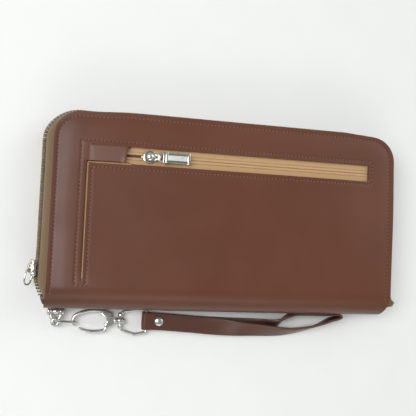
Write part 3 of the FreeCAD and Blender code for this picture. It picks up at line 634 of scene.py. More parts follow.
def outer_leather():
    """Front, spine and back as one sheet, cut by the zip window and the slit beside it."""
    columns = spaced(
        (-HALF_L, -95, 0.4), (-95, -87, 1.0), (-87, WIN_X0, 0.43), (WIN_X0, SLIT_L, 0.7),
        (SLIT_L, SLIT_R, 0.9), (SLIT_R, SLIT_R + 0.7, 0.35), (SLIT_R + 0.7, -77.5, 0.45),
        (-77.5, TONGUE_X, 1.3), (TONGUE_X, 0, 2.0), (0, WIN_X1 - 2, 2.0), (WIN_X1 - 2, WIN_X1, 0.5),
        (WIN_X1, 87.5, 0.5), (87.5, 94, 1.1), (94, HALF_L, 0.4))
    low_rows = spaced((CREASE_Y, SLIT_LOW, 0.9), (SLIT_LOW, 18, 2.0), (18, WIN_Y0, 0.5),
                      (WIN_Y0, TONGUE_Y0, 0.6), (TONGUE_Y0, TONGUE_Y1, 1.0),
                      (TONGUE_Y1, WIN_Y1, 0.2), (WIN_Y1, HALF_H - CORNER, 0.5))
    arc = HALF_H - CORNER + CORNER * np.sin(np.radians(np.linspace(0, 90, 25)[1:]))
    front_y = np.concatenate([low_rows, arc])
    back_y = np.concatenate([spaced((CREASE_Y, HALF_H - CORNER, 3.0)), arc])[::-1]
    turn = np.radians(np.linspace(0, 180, 33)[1:-1])
    rows = []
    for y in back_y:
        x = columns / HALF_L * half_width(y)
        inset = rim_distance(x, y)
        z = 0.55 * (1 - smooth(inset / 5.0)) ** 2 - groove(inset - STITCH_TOP, 0.2)
        rows.append(np.stack([x, np.full_like(x, y), z], 1))
    for a in turn:
        middle = math.sin(a)
        x = columns.copy()
        x = np.where(x > 90, x - (x - 90) / 10 * 2.6 * middle ** 2, x)
        sag = 0.15 * np.sin(columns / 31 + 1.1) * middle ** 2
        radius = SPINE_R + sag + 0.35 * middle ** 2
        y = CREASE_Y - radius * math.sin(a)
        z = MID_Z - SPINE_R * math.cos(a) + np.zeros_like(x)
        if a > math.pi / 2:
            z = z + (front_z(x, np.full_like(x, CREASE_Y)) - THICK) * smooth((a - math.pi / 2) / 1.2)
        rows.append(np.stack([x, y, z], 1))
    first_front = len(rows)
    for y in front_y:
        x = columns / HALF_L * half_width(y)
        yy = np.full_like(x, y)
        z = front_z(x, yy) + front_groove(x, yy)
        tongue_end = (np.abs(x - TONGUE_X) < 1.6) & (y > TONGUE_Y0 - 0.1) & (y < TONGUE_Y1 + 0.1)
        x = np.where(tongue_end, x - 1.4 * (TONGUE_Y1 - y) / (TONGUE_Y1 - TONGUE_Y0), x)
        corner = (np.abs(x - SLIT_R) < 0.1) & (abs(y - WIN_Y0) < 0.1)
        x = np.where(corner, x + 0.5, x)
        yy = np.where(corner, yy - 0.5, yy)
        rows.append(np.stack([x, yy, z], 1))
    outer = np.array(rows)
    n_rows, n_cols = outer.shape[:2]
    along = np.gradient(outer, axis=1)
    up = np.gradient(outer, axis=0)
    normal = np.cross(along, up)
    normal /= np.linalg.norm(normal, axis=2, keepdims=True)
    inner = outer - normal * LEATHER

    keep = np.ones((n_rows - 1, n_cols - 1), bool)
    cx = (columns[:-1] + columns[1:]) / 2
    for i in range(first_front, n_rows - 1):
        y = (front_y[i - first_front] + front_y[i - first_front + 1]) / 2
        in_window = (WIN_Y0 < y < WIN_Y1) & (cx > WIN_X0) & (cx < WIN_X1)
        in_tongue = (TONGUE_Y0 < y < WIN_Y1) & (cx < TONGUE_X)
        in_slit = (SLIT_LOW < y < TONGUE_Y0) & (cx > SLIT_L) & (cx < SLIT_R)
        frame_side = (y < TONGUE_Y0) & (cx < SLIT_L)
        keep[i] = ~((in_window & ~in_tongue & ~frame_side) | in_slit)

    run = np.cumsum(np.linalg.norm(np.diff(outer[:, n_cols // 2], axis=0), axis=1))
    run = np.concatenate([[0], run])
    uv = np.stack([outer[:, :, 0], np.repeat(run[:, None], n_cols, 1)], 2)
    # the sheet is drawn in two parts that meet under the spine, where nothing bends
    row_y = np.concatenate([np.full(first_front, BELOW_CUTS), front_y])
    seam = len(back_y) + SEAM_ROW
    lower = leather_part(outer[:seam + 1], inner[:seam + 1], uv[:seam + 1], keep[:seam],
                         row_y[:seam + 1], cx, "top")
    lower.make("outer_leather_back", LEATHER_LOOK, body="back", slot="outer_leather",
               replaces=("back_cover_leather",), bevel=0.40, angle=50)
    upper = leather_part(outer[seam:], inner[seam:], uv[seam:], keep[seam:], row_y[seam:], cx,
                         "bottom")
    upper.make("outer_leather_front", LEATHER_LOOK, slot="outer_leather",
               replaces=("front_cover_leather", "spine_leather", "pocket_end_tab"), bevel=0.40,
               angle=50, blend=True)


def leather_part(outer, inner, uv, keep, row_y, cx, open_end):
    """Both faces and the cut edges of a run of rows; one end stays open to meet the next part."""
    n_rows, n_cols = outer.shape[:2]
    b = Build()
    b.verts = np.concatenate([outer.reshape(-1, 3), inner.reshape(-1, 3)]).tolist()
    b.uvs = np.concatenate([uv.reshape(-1, 2), uv.reshape(-1, 2)]).tolist()
    half = n_rows * n_cols

    def face(corners, material):
        b.faces.append(tuple(layer * half + i * n_cols + j for i, j, layer in corners))
        b.mats.append(material)
    for i in range(n_rows - 1):
        y = row_y[i]
        for j in range(n_cols - 1):
            if not keep[i, j]:
                continue
            bare = SLIT_R - 0.1 < cx[j] < SLIT_R + 0.68 and SLIT_LOW < y < WIN_Y0 - 0.1
            bare = bare or (SLIT_R < cx[j] < TONGUE_X + 3 and WIN_Y0 - 0.6 < y < WIN_Y0 - 0.1)
            a, c, d, e = (i, j), (i, j + 1), (i + 1, j + 1), (i + 1, j)
            face(((*a, 0), (*c, 0), (*d, 0), (*e, 0)), RAW if bare else FACE)
            face(((*a, 1), (*e, 1), (*d, 1), (*c, 1)), BACKING)
            for start, end, ni, nj in ((a, c, i - 1, j), (c, d, i, j + 1), (d, e, i + 1, j),
                                       (e, a, i, j - 1)):
                if (ni < 0 and open_end == "bottom") or (ni == n_rows - 1 and open_end == "top"):
                    continue
                outside = not (0 <= ni < n_rows - 1 and 0 <= nj < n_cols - 1)
                if outside or not keep[ni, nj]:
                    raw = not outside and BELOW_CUTS < y < WIN_Y0 + 0.1 and cx[j] > SLIT_R - 0.1
                    face(((*start, 1), (*end, 1), (*end, 0), (*start, 0)), RAW if raw else PAINTED)
    return b


def slit_underlay():
    """Leather lining under the slit, so that the slit is a crease and not a black gap."""
    b = Build().add(block(SLIT_L - 1.2, SLIT_R + 1.6, SLIT_LOW - 1, WIN_Y0 - 0.3, THICK - 1.95,
                          THICK - 0.95, 0.2))
    b.make("slit_underlay", [OUTER], body="front", slot="outer_leather")


# ---------------------------------------------------------------- stitching
def add_stitches(b, path, normal_at, pitch=2.15, length=1.45, width=0.54, lean=8.0, start=0.4,
                 mats=(0, 1)):
    """Thread stitches along a line, sunk at their ends, with a dark disc of painted shade for the hole
    between each two.
    """
    spots, heads = evenly(path, pitch, start)
    for p, t in zip(spots, heads):
        n = unit(normal_at(p))
        m = axes(p, t, n)
        wander = math.radians(lean + rng.normal(0, 2.5))
        turn = np.eye(4)
        turn[:2, :2] = [[math.cos(wander), -math.sin(wander)], [math.sin(wander), math.cos(wander)]]
        m = m @ turn
        size = length * (1 + rng.normal(0, 0.04))
        line = [(-0.5 * size, 0, -0.22), (-0.36 * size, 0, 0.02), (-0.12 * size, 0, 0.13),
                (0.12 * size, 0, 0.13), (0.36 * size, 0, 0.02), (0.5 * size, 0, -0.22)]
        r = width / 2
        b.add(tube(line, [r * 0.5, r * 0.85, r, r, r * 0.85, r * 0.5], 6, flat=0.8), mats[0], m)
        # the hole is a flat dark disc: painted shade
        gap = axes(p + unit(t) * pitch / 2, t, n)
        hole = [(0.40, 0.0), (0.38, 0.04), (0.2, 0.05)]
        b.add(lathe(hole, (0, 0, -0.02), (0, 0, 1), 8), mats[1], gap)


def sew(b, seam, height, facing):
    """Stitches along a seam of an inner piece; facing is 1 for its upper face, -1 for its lower."""
    path = np.array([(x, y, height) for x, y in seam])
    add_stitches(b, path, lambda p: (0, 0, facing), pitch=2.6, mats=(1, 2))


def lifted(points, surface, rise=0.0):
    return np.array([(x, y, float(surface(x, y)) + rise) for x, y in points])


def rim_path(inset_left, inset_top, inset_right, low_left, low_right, step=0.7):
    """A line round the zipped sides, inside the leather's edge, from left to right."""
    x0, x1 = -HALF_L + inset_left, HALF_L - inset_right
    top = HALF_H - inset_top
    r0, r1 = CORNER - (inset_left + inset_top) / 2, CORNER - (inset_right + inset_top) / 2
    points = [(x0, y) for y in np.arange(low_left, top - r0, step)]
    points += [(x0 + r0 - r0 * math.cos(a), top - r0 + r0 * math.sin(a))
               for a in np.radians(np.linspace(0, 90, 24))]
    points += [(x, top) for x in np.arange(x0 + r0 + step, x1 - r1, step)]
    points += [(x1 - r1 + r1 * math.sin(a), top - r1 + r1 * math.cos(a))
               for a in np.radians(np.linspace(0, 90, 24))]
    points += [(x1, y) for y in np.arange(top - r1 - step, low_right, -step)]
    return points


def front_surface(x, y):
    return front_z(x, y) + front_groove(np.asarray(x, float), np.asarray(y, float))


def front_normal(p):
    e = 0.4
    dx = (front_z(p[0] + e, p[1]) - front_z(p[0] - e, p[1])) / (2 * e)
    dy = (front_z(p[0], p[1] + e) - front_z(p[0], p[1] - e)) / (2 * e)
    return np.array([-float(dx), -float(dy), 1.0])


def line(x0, y0, x1, y1, step=0.7):
    count = max(2, int(math.hypot(x1 - x0, y1 - y0) / step))
    return [(x0 + (x1 - x0) * k / count, y0 + (y1 - y0) * k / count) for k in range(count + 1)]


def leather_stitching():
    b = Build()
    routes = [
        rim_path(STITCH_LEFT, STITCH_TOP, STITCH_RIGHT, -45.5, -44.5),
        line(FRAME_STITCH_X, WIN_Y1 + 2.1, FRAME_STITCH_X, SLIT_LOW - 1.5),
        line(PANEL_STITCH_X, SLIT_LOW - 1.5, PANEL_STITCH_X, WIN_Y0 - 3.6),
        line(PANEL_STITCH_X + 0.8, panel_stitch_y(PANEL_STITCH_X), WIN_X1 + 2.0,
             panel_stitch_y(WIN_X1)),
        line(WIN_X1 + 2.1, panel_stitch_y(WIN_X1) + 0.5, WIN_X1 + 2.1, WIN_Y1 + 2.1),
        line(WIN_X1 + 1.0, WIN_Y1 + 2.1, FRAME_STITCH_X + 0.6, WIN_Y1 + 2.1),
        line(FRAME_STITCH_X + 0.6, SLIT_LOW - 2.0, PANEL_STITCH_X - 0.2, SLIT_LOW - 2.0),
    ]
    for route in routes:
        add_stitches(b, lifted(route, front_surface), front_normal)
    b.make("front_stitching", [THREAD, HOLE_SHADE], slot="outer_leather", blend=True)
    b = Build()
    under = rim_path(STITCH_TOP, STITCH_TOP, STITCH_TOP, -36, -36)
    add_stitches(b, lifted(under, lambda x, y: 0.30), lambda p: (0, 0, -1))
    b.make("back_stitching", [THREAD, HOLE_SHADE], body="back", slot="outer_leather")


# ---------------------------------------------------------------- main zip
def chain_path(low_left=-48.4, low_right=-41.5, step=0.4):
    """Points of the leather's edge, the direction out of it and how far out the chain stands."""
    edge = np.array(rim_path(0, 0, 0, low_left, low_right, step))
    ahead = np.gradient(edge, axis=0)
    ahead /= np.linalg.norm(ahead, axis=1, keepdims=True)
    out_dir = np.stack([-ahead[:, 1], ahead[:, 0]], 1)
    x, y = edge[:, 0], edge[:, 1]
    to_top = smooth((y - (HALF_H - CORNER)) / CORNER)
    side = np.where(x < 0, OUT_LEFT, OUT_RIGHT)
    out = side * (1 - to_top) + OUT_TOP * to_top
    # below the slider the chain is open: it swells out a little and runs in to the corner
    stops = [(-48.6, 1.2), (-47.6, 2.1), (-46.3, 3.4), (-42.3, 5.3), (-39.5, 6.1), (-36, 6.1),
             (-30, 5.85), (-22, OUT_LEFT)]
    low = (x < 0) & (y < -22)
    out = np.where(low, np.interp(y, *np.array(stops).T), out)
    tail = np.where(x < 0, smooth((-37.0 - y) / 11.5), 0)
    return edge, out_dir, out, tail


def under_leather(x, y, side):
    """Height over the middle plane of the inner face of the leather close to its edge."""
    x, y = np.asarray(x, float), np.asarray(y, float)
    drop = np.clip(CREASE_Y - y, 0, SPINE_R - LEATHER - 0.5)
    spine = np.sqrt((SPINE_R - LEATHER - 0.15) ** 2 - drop ** 2)
    if side == "back":
        return np.minimum(spine, MID_Z - 0.35 - LEATHER)
    inward = np.where(np.abs(x) > HALF_L - CORNER, x - np.sign(x) * 0.9, x)
    flat = front_z(inward, np.minimum(y, HALF_H - 0.9)) - MID_Z - LEATHER - 0.15
    return np.minimum(spine, flat)


# Section of the tape: offset from the leather's edge, share of the way out to the chain, and
# height as a share of the gap between the middle plane and the leather.
TAPE_SECTION = [
    (-4.5, 0.0, 1.0), (-1.2, 0.0, 1.0), (0.0, 0.12, 0.95), (0.2, 0.45, 0.84), (0.2, 0.80, 0.62),
    (0.0, 1.0, 0.38), (0.0, 1.02, 0.2), (0.0, 1.0, 0.09), (-0.45, 1.0, 0.09), (-0.45, 1.0, 0.37),
    (-0.4, 0.76, 0.59), (-0.3, 0.42, 0.8), (-0.6, 0.10, 0.9), (-1.6, 0.0, 0.95), (-4.5, 0.0, 0.95),
]
TAPE_RIM = range(5, 9)                    # section edges of the folded rim, in a darker tape as painted shade between the teeth


def main_zip():
    edge, out_dir, out, tail = chain_path()
    run = np.concatenate([[0], np.cumsum(np.linalg.norm(np.diff(edge, axis=0), axis=1))])
    for side, flip in (("front", 1), ("back", -1)):
        main_tape(side, flip, edge, out_dir, out, tail, run)
        main_teeth(side, flip, edge, out_dir, out, tail, run)


def main_tape(side, flip, edge, out_dir, out, tail, run):
    base = under_leather(edge[:, 0], edge[:, 1], side)
    verts, uvs = [], []
    for e, o, w, top, t, r in zip(edge, out_dir, out, base, tail, run):
        lowest = 0.9 + 4.9 * t                    # the tape's edge rises with the open chain
        for k, (a, f, h) in enumerate(TAPE_SECTION):
            rise = lowest + (top - lowest) * (h - 0.09) / 0.91
            verts.append([*(e + o * (a + f * max(w - 2.15, 0.2))), MID_Z + flip * rise])
            uvs.append((r, k * 1.3))
    n, m = len(edge), len(TAPE_SECTION)
    faces = grid_faces(n, m, ring=True, flip=flip < 0)
    ends = [tuple(range(m)), tuple((n - 1) * m + k for k in reversed(range(m)))]
    b = Build().add((verts, faces + (ends if flip > 0 else [f[::-1] for f in ends])), 0, uv=uvs)
    # the folded rim faces take the darker tape as painted shade
    for i in range(len(faces)):
        b.mats[i] = 1 if i % m in TAPE_RIM else 0
    b.make(f"main_tape_{side}", [OLIVE_TAPE, SHADED_OLIVE_RIM], body=side, slot="olive_tape",
           replaces=(f"main_zip_tape_{side}",))


def tooth_shape():
    """One turn of the chain: a rounded bar with a head, X along the chain, Y outwards."""
    verts, faces = block(-0.42, 0.42, -1.35, 0.95, -0.75, 0.95, 0.22, 2)
    return [(x, y * (1.0 - 0.25 * smooth(z + 0.2)), z) for x, y, z in verts], faces


def main_teeth(side, flip, edge, out_dir, out, tail, run):
    b, unit_tooth, pitch = Build(), tooth_shape(), 1.7
    start = 0.4 if flip > 0 else 0.4 + pitch / 2
    for s in np.arange(start, run[-1] - 0.3, pitch):
        at = [np.interp(s, run, edge[:, k]) for k in (0, 1)]
        o = unit([np.interp(s, run, out_dir[:, k]) for k in (0, 1)])
        w, t = np.interp(s, run, out), np.interp(s, run, tail)
        rise = 0.45 + 5.1 * t
        p = np.array([at[0] + o[0] * (w - 1.05), at[1] + o[1] * (w - 1.05), MID_Z + flip * rise])
        along, lean = unit([o[1], -o[0], 0]), unit([o[0], o[1], -flip * 0.5 * t])
        up = np.cross(along, lean)
        turned = -1 if up[2] * flip < 0 else 1
        b.add(unit_tooth, 0, placed(along * turned, lean, up * turned, p))
    b.make(f"main_teeth_{side}", [BRASS_COIL], body=side, slot="brass_coil",
           replaces=(f"main_zip_coil_{side}",))


def end_tab():
    """Leather folded into the open corner of the spine, and tape sewn over the chain's end."""
    outline = [(-HALF_L + 0.6, -46.4), (-HALF_L - 2.3, -46.9), (-HALF_L - 1.9, -49.2),
               (-HALF_L - 0.9, -51.4), (-HALF_L + 0.6, -51.9)]
    b = Build().add(plate(outline, MID_Z - 4.5, MID_Z + 4.5, 0.6))
    b.make("corner_fold_left", [DARK], body="back", slot="dark_leather")
    low, high = span("zip_end_tab")
    outline = [(low[0], high[1]), (high[0] - 3.0, high[1]), (high[0] - 2.3, high[1] - 3.4),
               (high[0], high[1] - 5.6), (high[0] - 1.4, low[1] + 1.2), (low[0], low[1])]
    b = Build().add(plate(outline, low[2] + 0.6, MID_Z - 0.15, 0.5))
    b.add(plate(outline, MID_Z + 0.15, high[2] - 0.6, 0.5))
    b.make("zip_end_fold", [OLIVE_TAPE], body="back", slot="olive_tape", replaces=("zip_end_tab",))


def main_slider():
    low, high = span("main_slider_body")
    y0, y1 = low[1], high[1]
    mid_y, face = (y0 + y1) / 2, low[0]
    b = Build()
    wide, narrow = 3.6, 2.7
    outline = mirrored([(y0, -narrow), (y0 + 2.5, -wide + 0.2), (y1 - 3.5, -wide),
                        (y1 - 0.8, -wide + 0.5), (y1, -1.2)])
    # the plate is drawn in YZ and stood up
    lay = placed((0, 1, 0), (0, 0, 1), (1, 0, 0), (0, 0, MID_Z))
    b.add(plate(outline, face, face + 1.2, 0.35), 0, lay)
    b.add(plate([(a * 0.96 + mid_y * 0.04, c * 0.72) for a, c in outline], high[0] - 0.8, high[0],
                0.2), 0, lay)
    b.add(block(face + 0.8, high[0] - 0.4, y0 + 1.5, y1 - 5, MID_Z - 0.28, MID_Z + 0.28, 0.1))
    # the flanks seen from above: a flange over the chain with a domed nose
    for s in (-1, 1):
        z0, z1 = sorted((MID_Z + s * 1.95, MID_Z + s * 3.5))
        b.add(block(face - 0.7, face + 2.1, mid_y - 4.0, mid_y + 2.6, z0, z1, 0.5, 3))
        b.add(block(face - 0.8, face + 2.2, mid_y + 1.7, mid_y + 2.7, z0 - 0.1, z1 + 0.15, 0.3))
        nose = [(1.75, 0.0), (1.7, 0.5), (1.4, 0.95), (0.8, 1.25), (0.2, 1.35)]
        b.add(lathe(nose, (face + 0.8, mid_y - 2.5, MID_Z + s * 3.1), (0, 0, s), 24))
    fitting(b, "main_slider_plates", "main_slider", "main_slider_body", CHROME, "polished_metal")
    main_crown()


def main_crown():
    """Bridge over the slider's plate, which carries the pull."""
    low, high = span("main_slider_crown")
    rise = high[0] - low[0]
    arch = curve([(high[0] + 0.2, low[1] + 1.6, MID_Z), (low[0] + rise * 0.5, low[1] + 1.6, MID_Z),
                  (low[0] + 0.75, low[1] + 2.5, MID_Z), (low[0] + 0.75, low[1] + 4.0, MID_Z),
                  (low[0] + rise * 0.5, high[1] - 0.5, MID_Z), (high[0] + 0.3, high[1] + 1.9, MID_Z)],
                 0.3)
    b = Build().add(tube(arch, 0.62, 14, flat=1.35))
    b.add(ball((high[0] - 0.35, low[1] + 1.6, MID_Z), 1.05, 16, 10))
    fitting(b, "main_slider_bridge", "main_slider", "main_slider_crown", OLD_BRASS,
            "polished_metal")
    main_pull(high[0], (low[1] + high[1]) / 2)


def main_pull(crown_x, crown_y):
    """Wire pull hanging from the bridge, rolled a little off the vertical."""
    out, roll = math.radians(10), math.radians(30)
    along = np.array([-math.sin(out), -math.cos(out), 0])
    side = np.array([along[1], -along[0], 0]) * math.sin(roll) + np.array([0, 0, math.cos(roll)])
    shape = [(0, -1.6), (0.0, 1.6), (0.6, 2.6), (2.0, 3.3), (4.2, 3.5), (6.4, 3.2), (7.9, 2.0),
             (8.3, 0), (7.9, -2.0), (6.4, -3.2), (4.2, -3.5), (2.0, -3.3), (0.6, -2.6)]
    origin = np.array([crown_x - 1.1, crown_y - 0.4, MID_Z])
    points = curve([origin + along * a + side * c for a, c in shape], 0.35, closed=True)
    b = Build().add(tube(points, 0.5, 12, closed=True, up=np.cross(along, side)))
    fitting(b, "main_pull_wire", "main_pull", "main_pull_loop", slot="polished_metal")


# ---------------------------------------------------------------- pocket zip
MOUTH_CLOSED_X = span("pocket_slider_body")[0][0] + 2.0
PULL_SHIFT = 0.9                          # the pull is drawn this much nearer to the crown


def mouth(x):
    """Half the gap between the tape edges: shut behind the slider, open ahead of it."""
    return 0.06 + 0.72 * smooth((MOUTH_CLOSED_X + 0.6 - x) / 2.5)


# The zip's tape across its width: distance from the mouth and height over the tape's plane.
RIB_SECTION = [(0.0, -1.3), (0.0, -0.5), (0.12, 0.02), (0.4, 0.24), (0.9, 0.34), (1.3, 0.32),
               (1.55, 0.16), (1.7, -0.16), (1.82, -0.16), (1.95, 0.14), (2.1, 0.24), (2.5, 0.2),
               (3.2, 0.12), (3.9, 0.06), (4.5, 0.0)]


def pocket_zip():
    """Reversed coil zip: two tapes with sewn ribs, folded down at the mouth."""
    z0 = span("pocket_zip_tape_upper")[0][2]
    for name, sign in (("upper", 1), ("lower", -1)):
        pocket_tape(name, sign, z0)
        pocket_seam(name, sign, z0)
        pocket_coil(name, sign, z0)


def pocket_tape(name, sign, z0):
    xs = spaced((WIN_X0 - 1.5, TONGUE_X - 3, 2.0), (TONGUE_X - 3, MOUTH_CLOSED_X + 2, 0.5),
                (MOUTH_CLOSED_X + 2, WIN_X1 + 2.2, 1.2))
    reach = (WIN_Y1 if sign > 0 else WIN_Y0) * sign - POCKET_Y * sign
    section = RIB_SECTION + [(reach, -0.1), (reach + 1.6, -0.25)]
    verts, uvs = [], []
    for x in xs:
        for d, h in section:
            wobble = 0.03 * math.sin(x * 0.9 + d * 3) + 0.02 * math.sin(x * 2.3)
            push = mouth(x) * (1 - smooth((d - 0.4) / 3.2))
            verts.append((x, POCKET_Y + sign * (d + push), z0 + 0.22 + h + wobble))
            uvs.append((x, d))
    faces = grid_faces(len(xs), len(section), flip=sign < 0)
    b = Build().add((verts, faces), 0, uv=uvs)
    piece = b.make(f"pocket_tape_{name}", [TAN_TAPE], body="front", slot="tan_tape",
                   replaces=(f"pocket_zip_tape_{name}",))
    thicken(piece, 0.28)


def pocket_seam(name, sign, z0):
    """Sewn thread along the groove of the tape."""
    b = Build()
    add_seam(b, [(x, POCKET_Y + sign * (1.76 + mouth(x) * 0.6), z0 + 0.10)
                 for x in np.arange(WIN_X0, WIN_X1 + 1.5, 0.5)])
    b.make(f"pocket_tape_seam_{name}", [TAN_COIL], body="front", slot="tan_tape")


def pocket_coil(name, sign, z0):
    """Coil on the inside of the tape, seen where the mouth is open."""
    b = Build()
    for x in np.arange(WIN_X0 + 1 + (0.35 if sign > 0 else 0), WIN_X1 + 1, 0.7):
        y = POCKET_Y + sign * mouth(x)
        loop = [(-0.28, -0.55), (0.3, -0.25), (1.5, -0.35), (1.7, -0.85), (0.3, -1.05), (-0.28, -0.75)]
        b.add(tube([(x, y + sign * d, z0 + h) for d, h in loop], 0.17, 6))
    b.make(f"pocket_coil_{name}", [TAN_COIL], body="front", slot="tan_coil",
           replaces=(f"pocket_zip_coil_{name}",))


def add_seam(b, path, pitch=1.5, length=1.15, width=0.3):
    spots, heads = evenly(path, pitch)
    for p, t in zip(spots, heads):
        m = axes(p, t, (0, 0, 1))
        bar = [(-length / 2, 0, -0.1), (-length / 4, 0, 0.05), (length / 4, 0, 0.05),
               (length / 2, 0, -0.1)]
        b.add(tube(bar, [width * 0.3, width / 2, width / 2, width * 0.3], 5), 0, m)


def thicken(piece, thickness):
    mod = piece.modifiers.new("ply", "SOLIDIFY")
    mod.thickness, mod.offset = thickness * MM, -1.0
    settle(piece)


def pocket_slider():
    low, high = span("pocket_slider_body")
    x0, x1 = low[0], high[0]
    plate_z = span("pocket_slider_dome")[0][2]
    x = (x0 + x1) / 2
    b = Build()
    outline = mirrored([(x0 + 1.6, -1.6), (x0 + 2.4, -2.5), (x - 0.5, -2.9), (x1 - 2.0, -2.5),
                        (x1, -2.0)])
    b.add(plate([(a, POCKET_Y + c) for a, c in outline], plate_z - 0.8, plate_z, 0.25))
    b.add(block(x0 + 3.2, x1 - 1.2, POCKET_Y - 0.35, POCKET_Y + 0.35, low[2] + 0.3, plate_z - 0.5, 0.1))
    b.add(block(x0 + 1, x1 - 1, POCKET_Y - 3.1, POCKET_Y + 3.1, low[2], low[2] + 0.6, 0.15))
    fitting(b, "pocket_slider_plates", "pocket_slider", "pocket_slider_body", CHROME,
            "polished_metal")
    pocket_crown(x, plate_z)


def pocket_crown(x, plate_z):
    """Domed crown with a raised rim and two ears that carry the pull."""
    r = 3.5
    profile = [(r, 0.0), (r + 0.05, 0.25), (r - 0.1, 0.55), (r - 0.35, 0.62)]
    rise = span("pocket_slider_dome")[1][2] - plate_z
    profile += [(r - 0.45 - (r - 0.5) * (1 - math.cos(a)), 0.62 + (rise - 0.62) * math.sin(a))
                for a in np.radians(np.linspace(0, 88, 12))]
    b = Build().add(lathe(profile, (x, POCKET_Y, plate_z), (0, 0, 1), 40))
    lug_x, lug_z = x + 5.2, plate_z + 1.95
    for sign in (-1, 1):
        ear = curve([(x + 2.4, POCKET_Y + sign * 1.5, plate_z + 0.5),
                     (x + 4.0, POCKET_Y + sign * 1.0, plate_z + 1.3),
                     (lug_x, POCKET_Y + sign * 0.55, lug_z),
                     (lug_x + 1.0, POCKET_Y + sign * 0.5, lug_z - 0.1)], 0.4)
        b.add(tube(ear, [0.75] * (len(ear) - 1) + [0.4], 12))
    fitting(b, "pocket_slider_crown", "pocket_slider", "pocket_slider_dome", CHROME,
            "polished_metal")
    pocket_pull(lug_x, lug_z)


def pocket_pull(lug_x, z):
    """Stirrup through the ears, and the barrel plate it holds between a collar and a rim."""
    low, high = span("pocket_pull_bar")
    x0, x1 = low[0] - PULL_SHIFT, high[0] - PULL_SHIFT
    ring = [(lug_x, -1.9), (lug_x - 0.55, -1.2), (lug_x - 0.55, 1.2), (lug_x, 1.9), (lug_x + 1.5, 2.1),
            (x0 + 0.8, 2.0), (x0 + 0.8, -2.0), (lug_x + 1.5, -2.1)]
    points = curve([(a, POCKET_Y + c, z) for a, c in ring], 0.35, closed=True)
    b = Build().add(tube(points, 0.55, 12, closed=True))
    fitting(b, "pocket_pull_ring", "pocket_pull", "pocket_pull_stirrup", CHROME, "polished_metal")
    half = 3.0
    outline = mirrored([(x0 + 1.9, -half + 0.25), (x1 - 1.0, -half)])
    b = Build().add(plate([(a, POCKET_Y + c) for a, c in outline], z - 0.45, z + 0.35, 0.2))
    # the bright face is a shallow barrel between the collar and the rim, with a painted highlight down
    # its middle strips and painted shade on its outer strips
    steps, strips = 14, 12
    verts = []
    for i in range(steps + 1):
        a = i / steps
        x = x0 + 2.0 + (x1 - 1.0 - x0 - 2.0) * a
        for k in range(strips + 1):
            c = -1 + 2 * k / strips
            crown = 0.75 * math.sqrt(max(0.0, 1 - c * c * 0.92)) * (1 - 0.25 * abs(2 * a - 1) ** 4)
            verts.append((x, POCKET_Y + c * (half - 0.25), z + 0.3 + crown))
    faces = grid_faces(steps + 1, strips + 1)
    b.add((verts, faces), 1)
    # middle strips: painted highlight; outer strips: painted shade
    b.mats[-len(faces):] = [1 if 3 <= i % strips < 9 else 2 for i in range(len(faces))]
    # side cheeks, collar, its front step and the rim: x0, x1, half width range, z range, bevel
    for a0, a1, c0, c1, h0, h1, bevel in (
            (x0, x0 + 2.1, -3.25, -2.55, -0.5, 1.2, 0.2), (x0, x0 + 2.1, 2.55, 3.25, -0.5, 1.2, 0.2),
            (x0 + 1.2, x0 + 2.5, -3.25, 3.25, -0.5, 1.35, 0.3),
            (x0 - 0.1, x0 + 1.4, -3.0, 3.0, 0.75, 1.25, 0.2),
            (x1 - 1.3, x1, -3.25, 3.25, -0.5, 1.3, 0.3)):
        b.add(block(a0, a1, POCKET_Y + c0, POCKET_Y + c1, z + h0, z + h1, bevel))
    b.make("pocket_pull_plate", [CHROME, HIGHLIGHT_METAL, SHADED], body="pocket_pull", slot="polished_metal",
           replaces=("pocket_pull_bar",))


# ---------------------------------------------------------------- strap hardware
PIN = (span("anchor_pin")[0] + span("anchor_pin")[1]) / 2
LINK_LOW, LINK_HIGH = span("connecting_link")
BALL_Y = (LINK_LOW[1] + LINK_HIGH[1]) / 2
STUD_LOW, STUD_HIGH = span("swivel_stud")
HW_Y, HW_Z = ((STUD_LOW + STUD_HIGH) / 2)[1:]
BAR_X = span("d_ring")[1][0] - 0.9        # the D ring's straight side, which the strap holds


def fillet(points, radii, step=0.25):
    """A closed line through points with its corners rounded."""
    pts = [np.asarray(p, float) for p in points]
    out = []
    for i, p in enumerate(pts):
        a, b = pts[i - 1] - p, pts[(i + 1) % len(pts)] - p
        half = math.acos(np.clip(np.dot(unit(a), unit(b)), -1, 1)) / 2
        reach = radii[i] / math.tan(half)
        start, end = p + unit(a) * reach, p + unit(b) * reach
        count = max(5, int(radii[i] * (math.pi - 2 * half) / step))
        middle = p + unit(unit(a) + unit(b)) * radii[i] / math.sin(half)
        for k in range(count + 1):
            v = unit((start - middle) * (1 - k / count) + (end - middle) * (k / count))
            out.append(middle + v * radii[i])
        nxt = (i + 1) % len(pts)
        gap, after = pts[nxt] - p, pts[(nxt + 1) % len(pts)] - pts[nxt]
        far = math.acos(np.clip(np.dot(unit(-gap), unit(after)), -1, 1)) / 2
        stop = pts[nxt] - unit(gap) * radii[nxt] / math.tan(far)
        legs = max(2, int(np.linalg.norm(stop - end) / 1.0))
        out += [end + (stop - end) * k / legs for k in range(1, legs)]
    return np.array(out)


def arc(cx, cy, radius, a0, a1, z, step=4.0):
    count = max(4, int(abs(a1 - a0) / step))
    return [(cx + radius * math.cos(math.radians(a0 + (a1 - a0) * k / count)),
             cy + radius * math.sin(math.radians(a0 + (a1 - a0) * k / count)), z)
            for k in range(count + 1)]


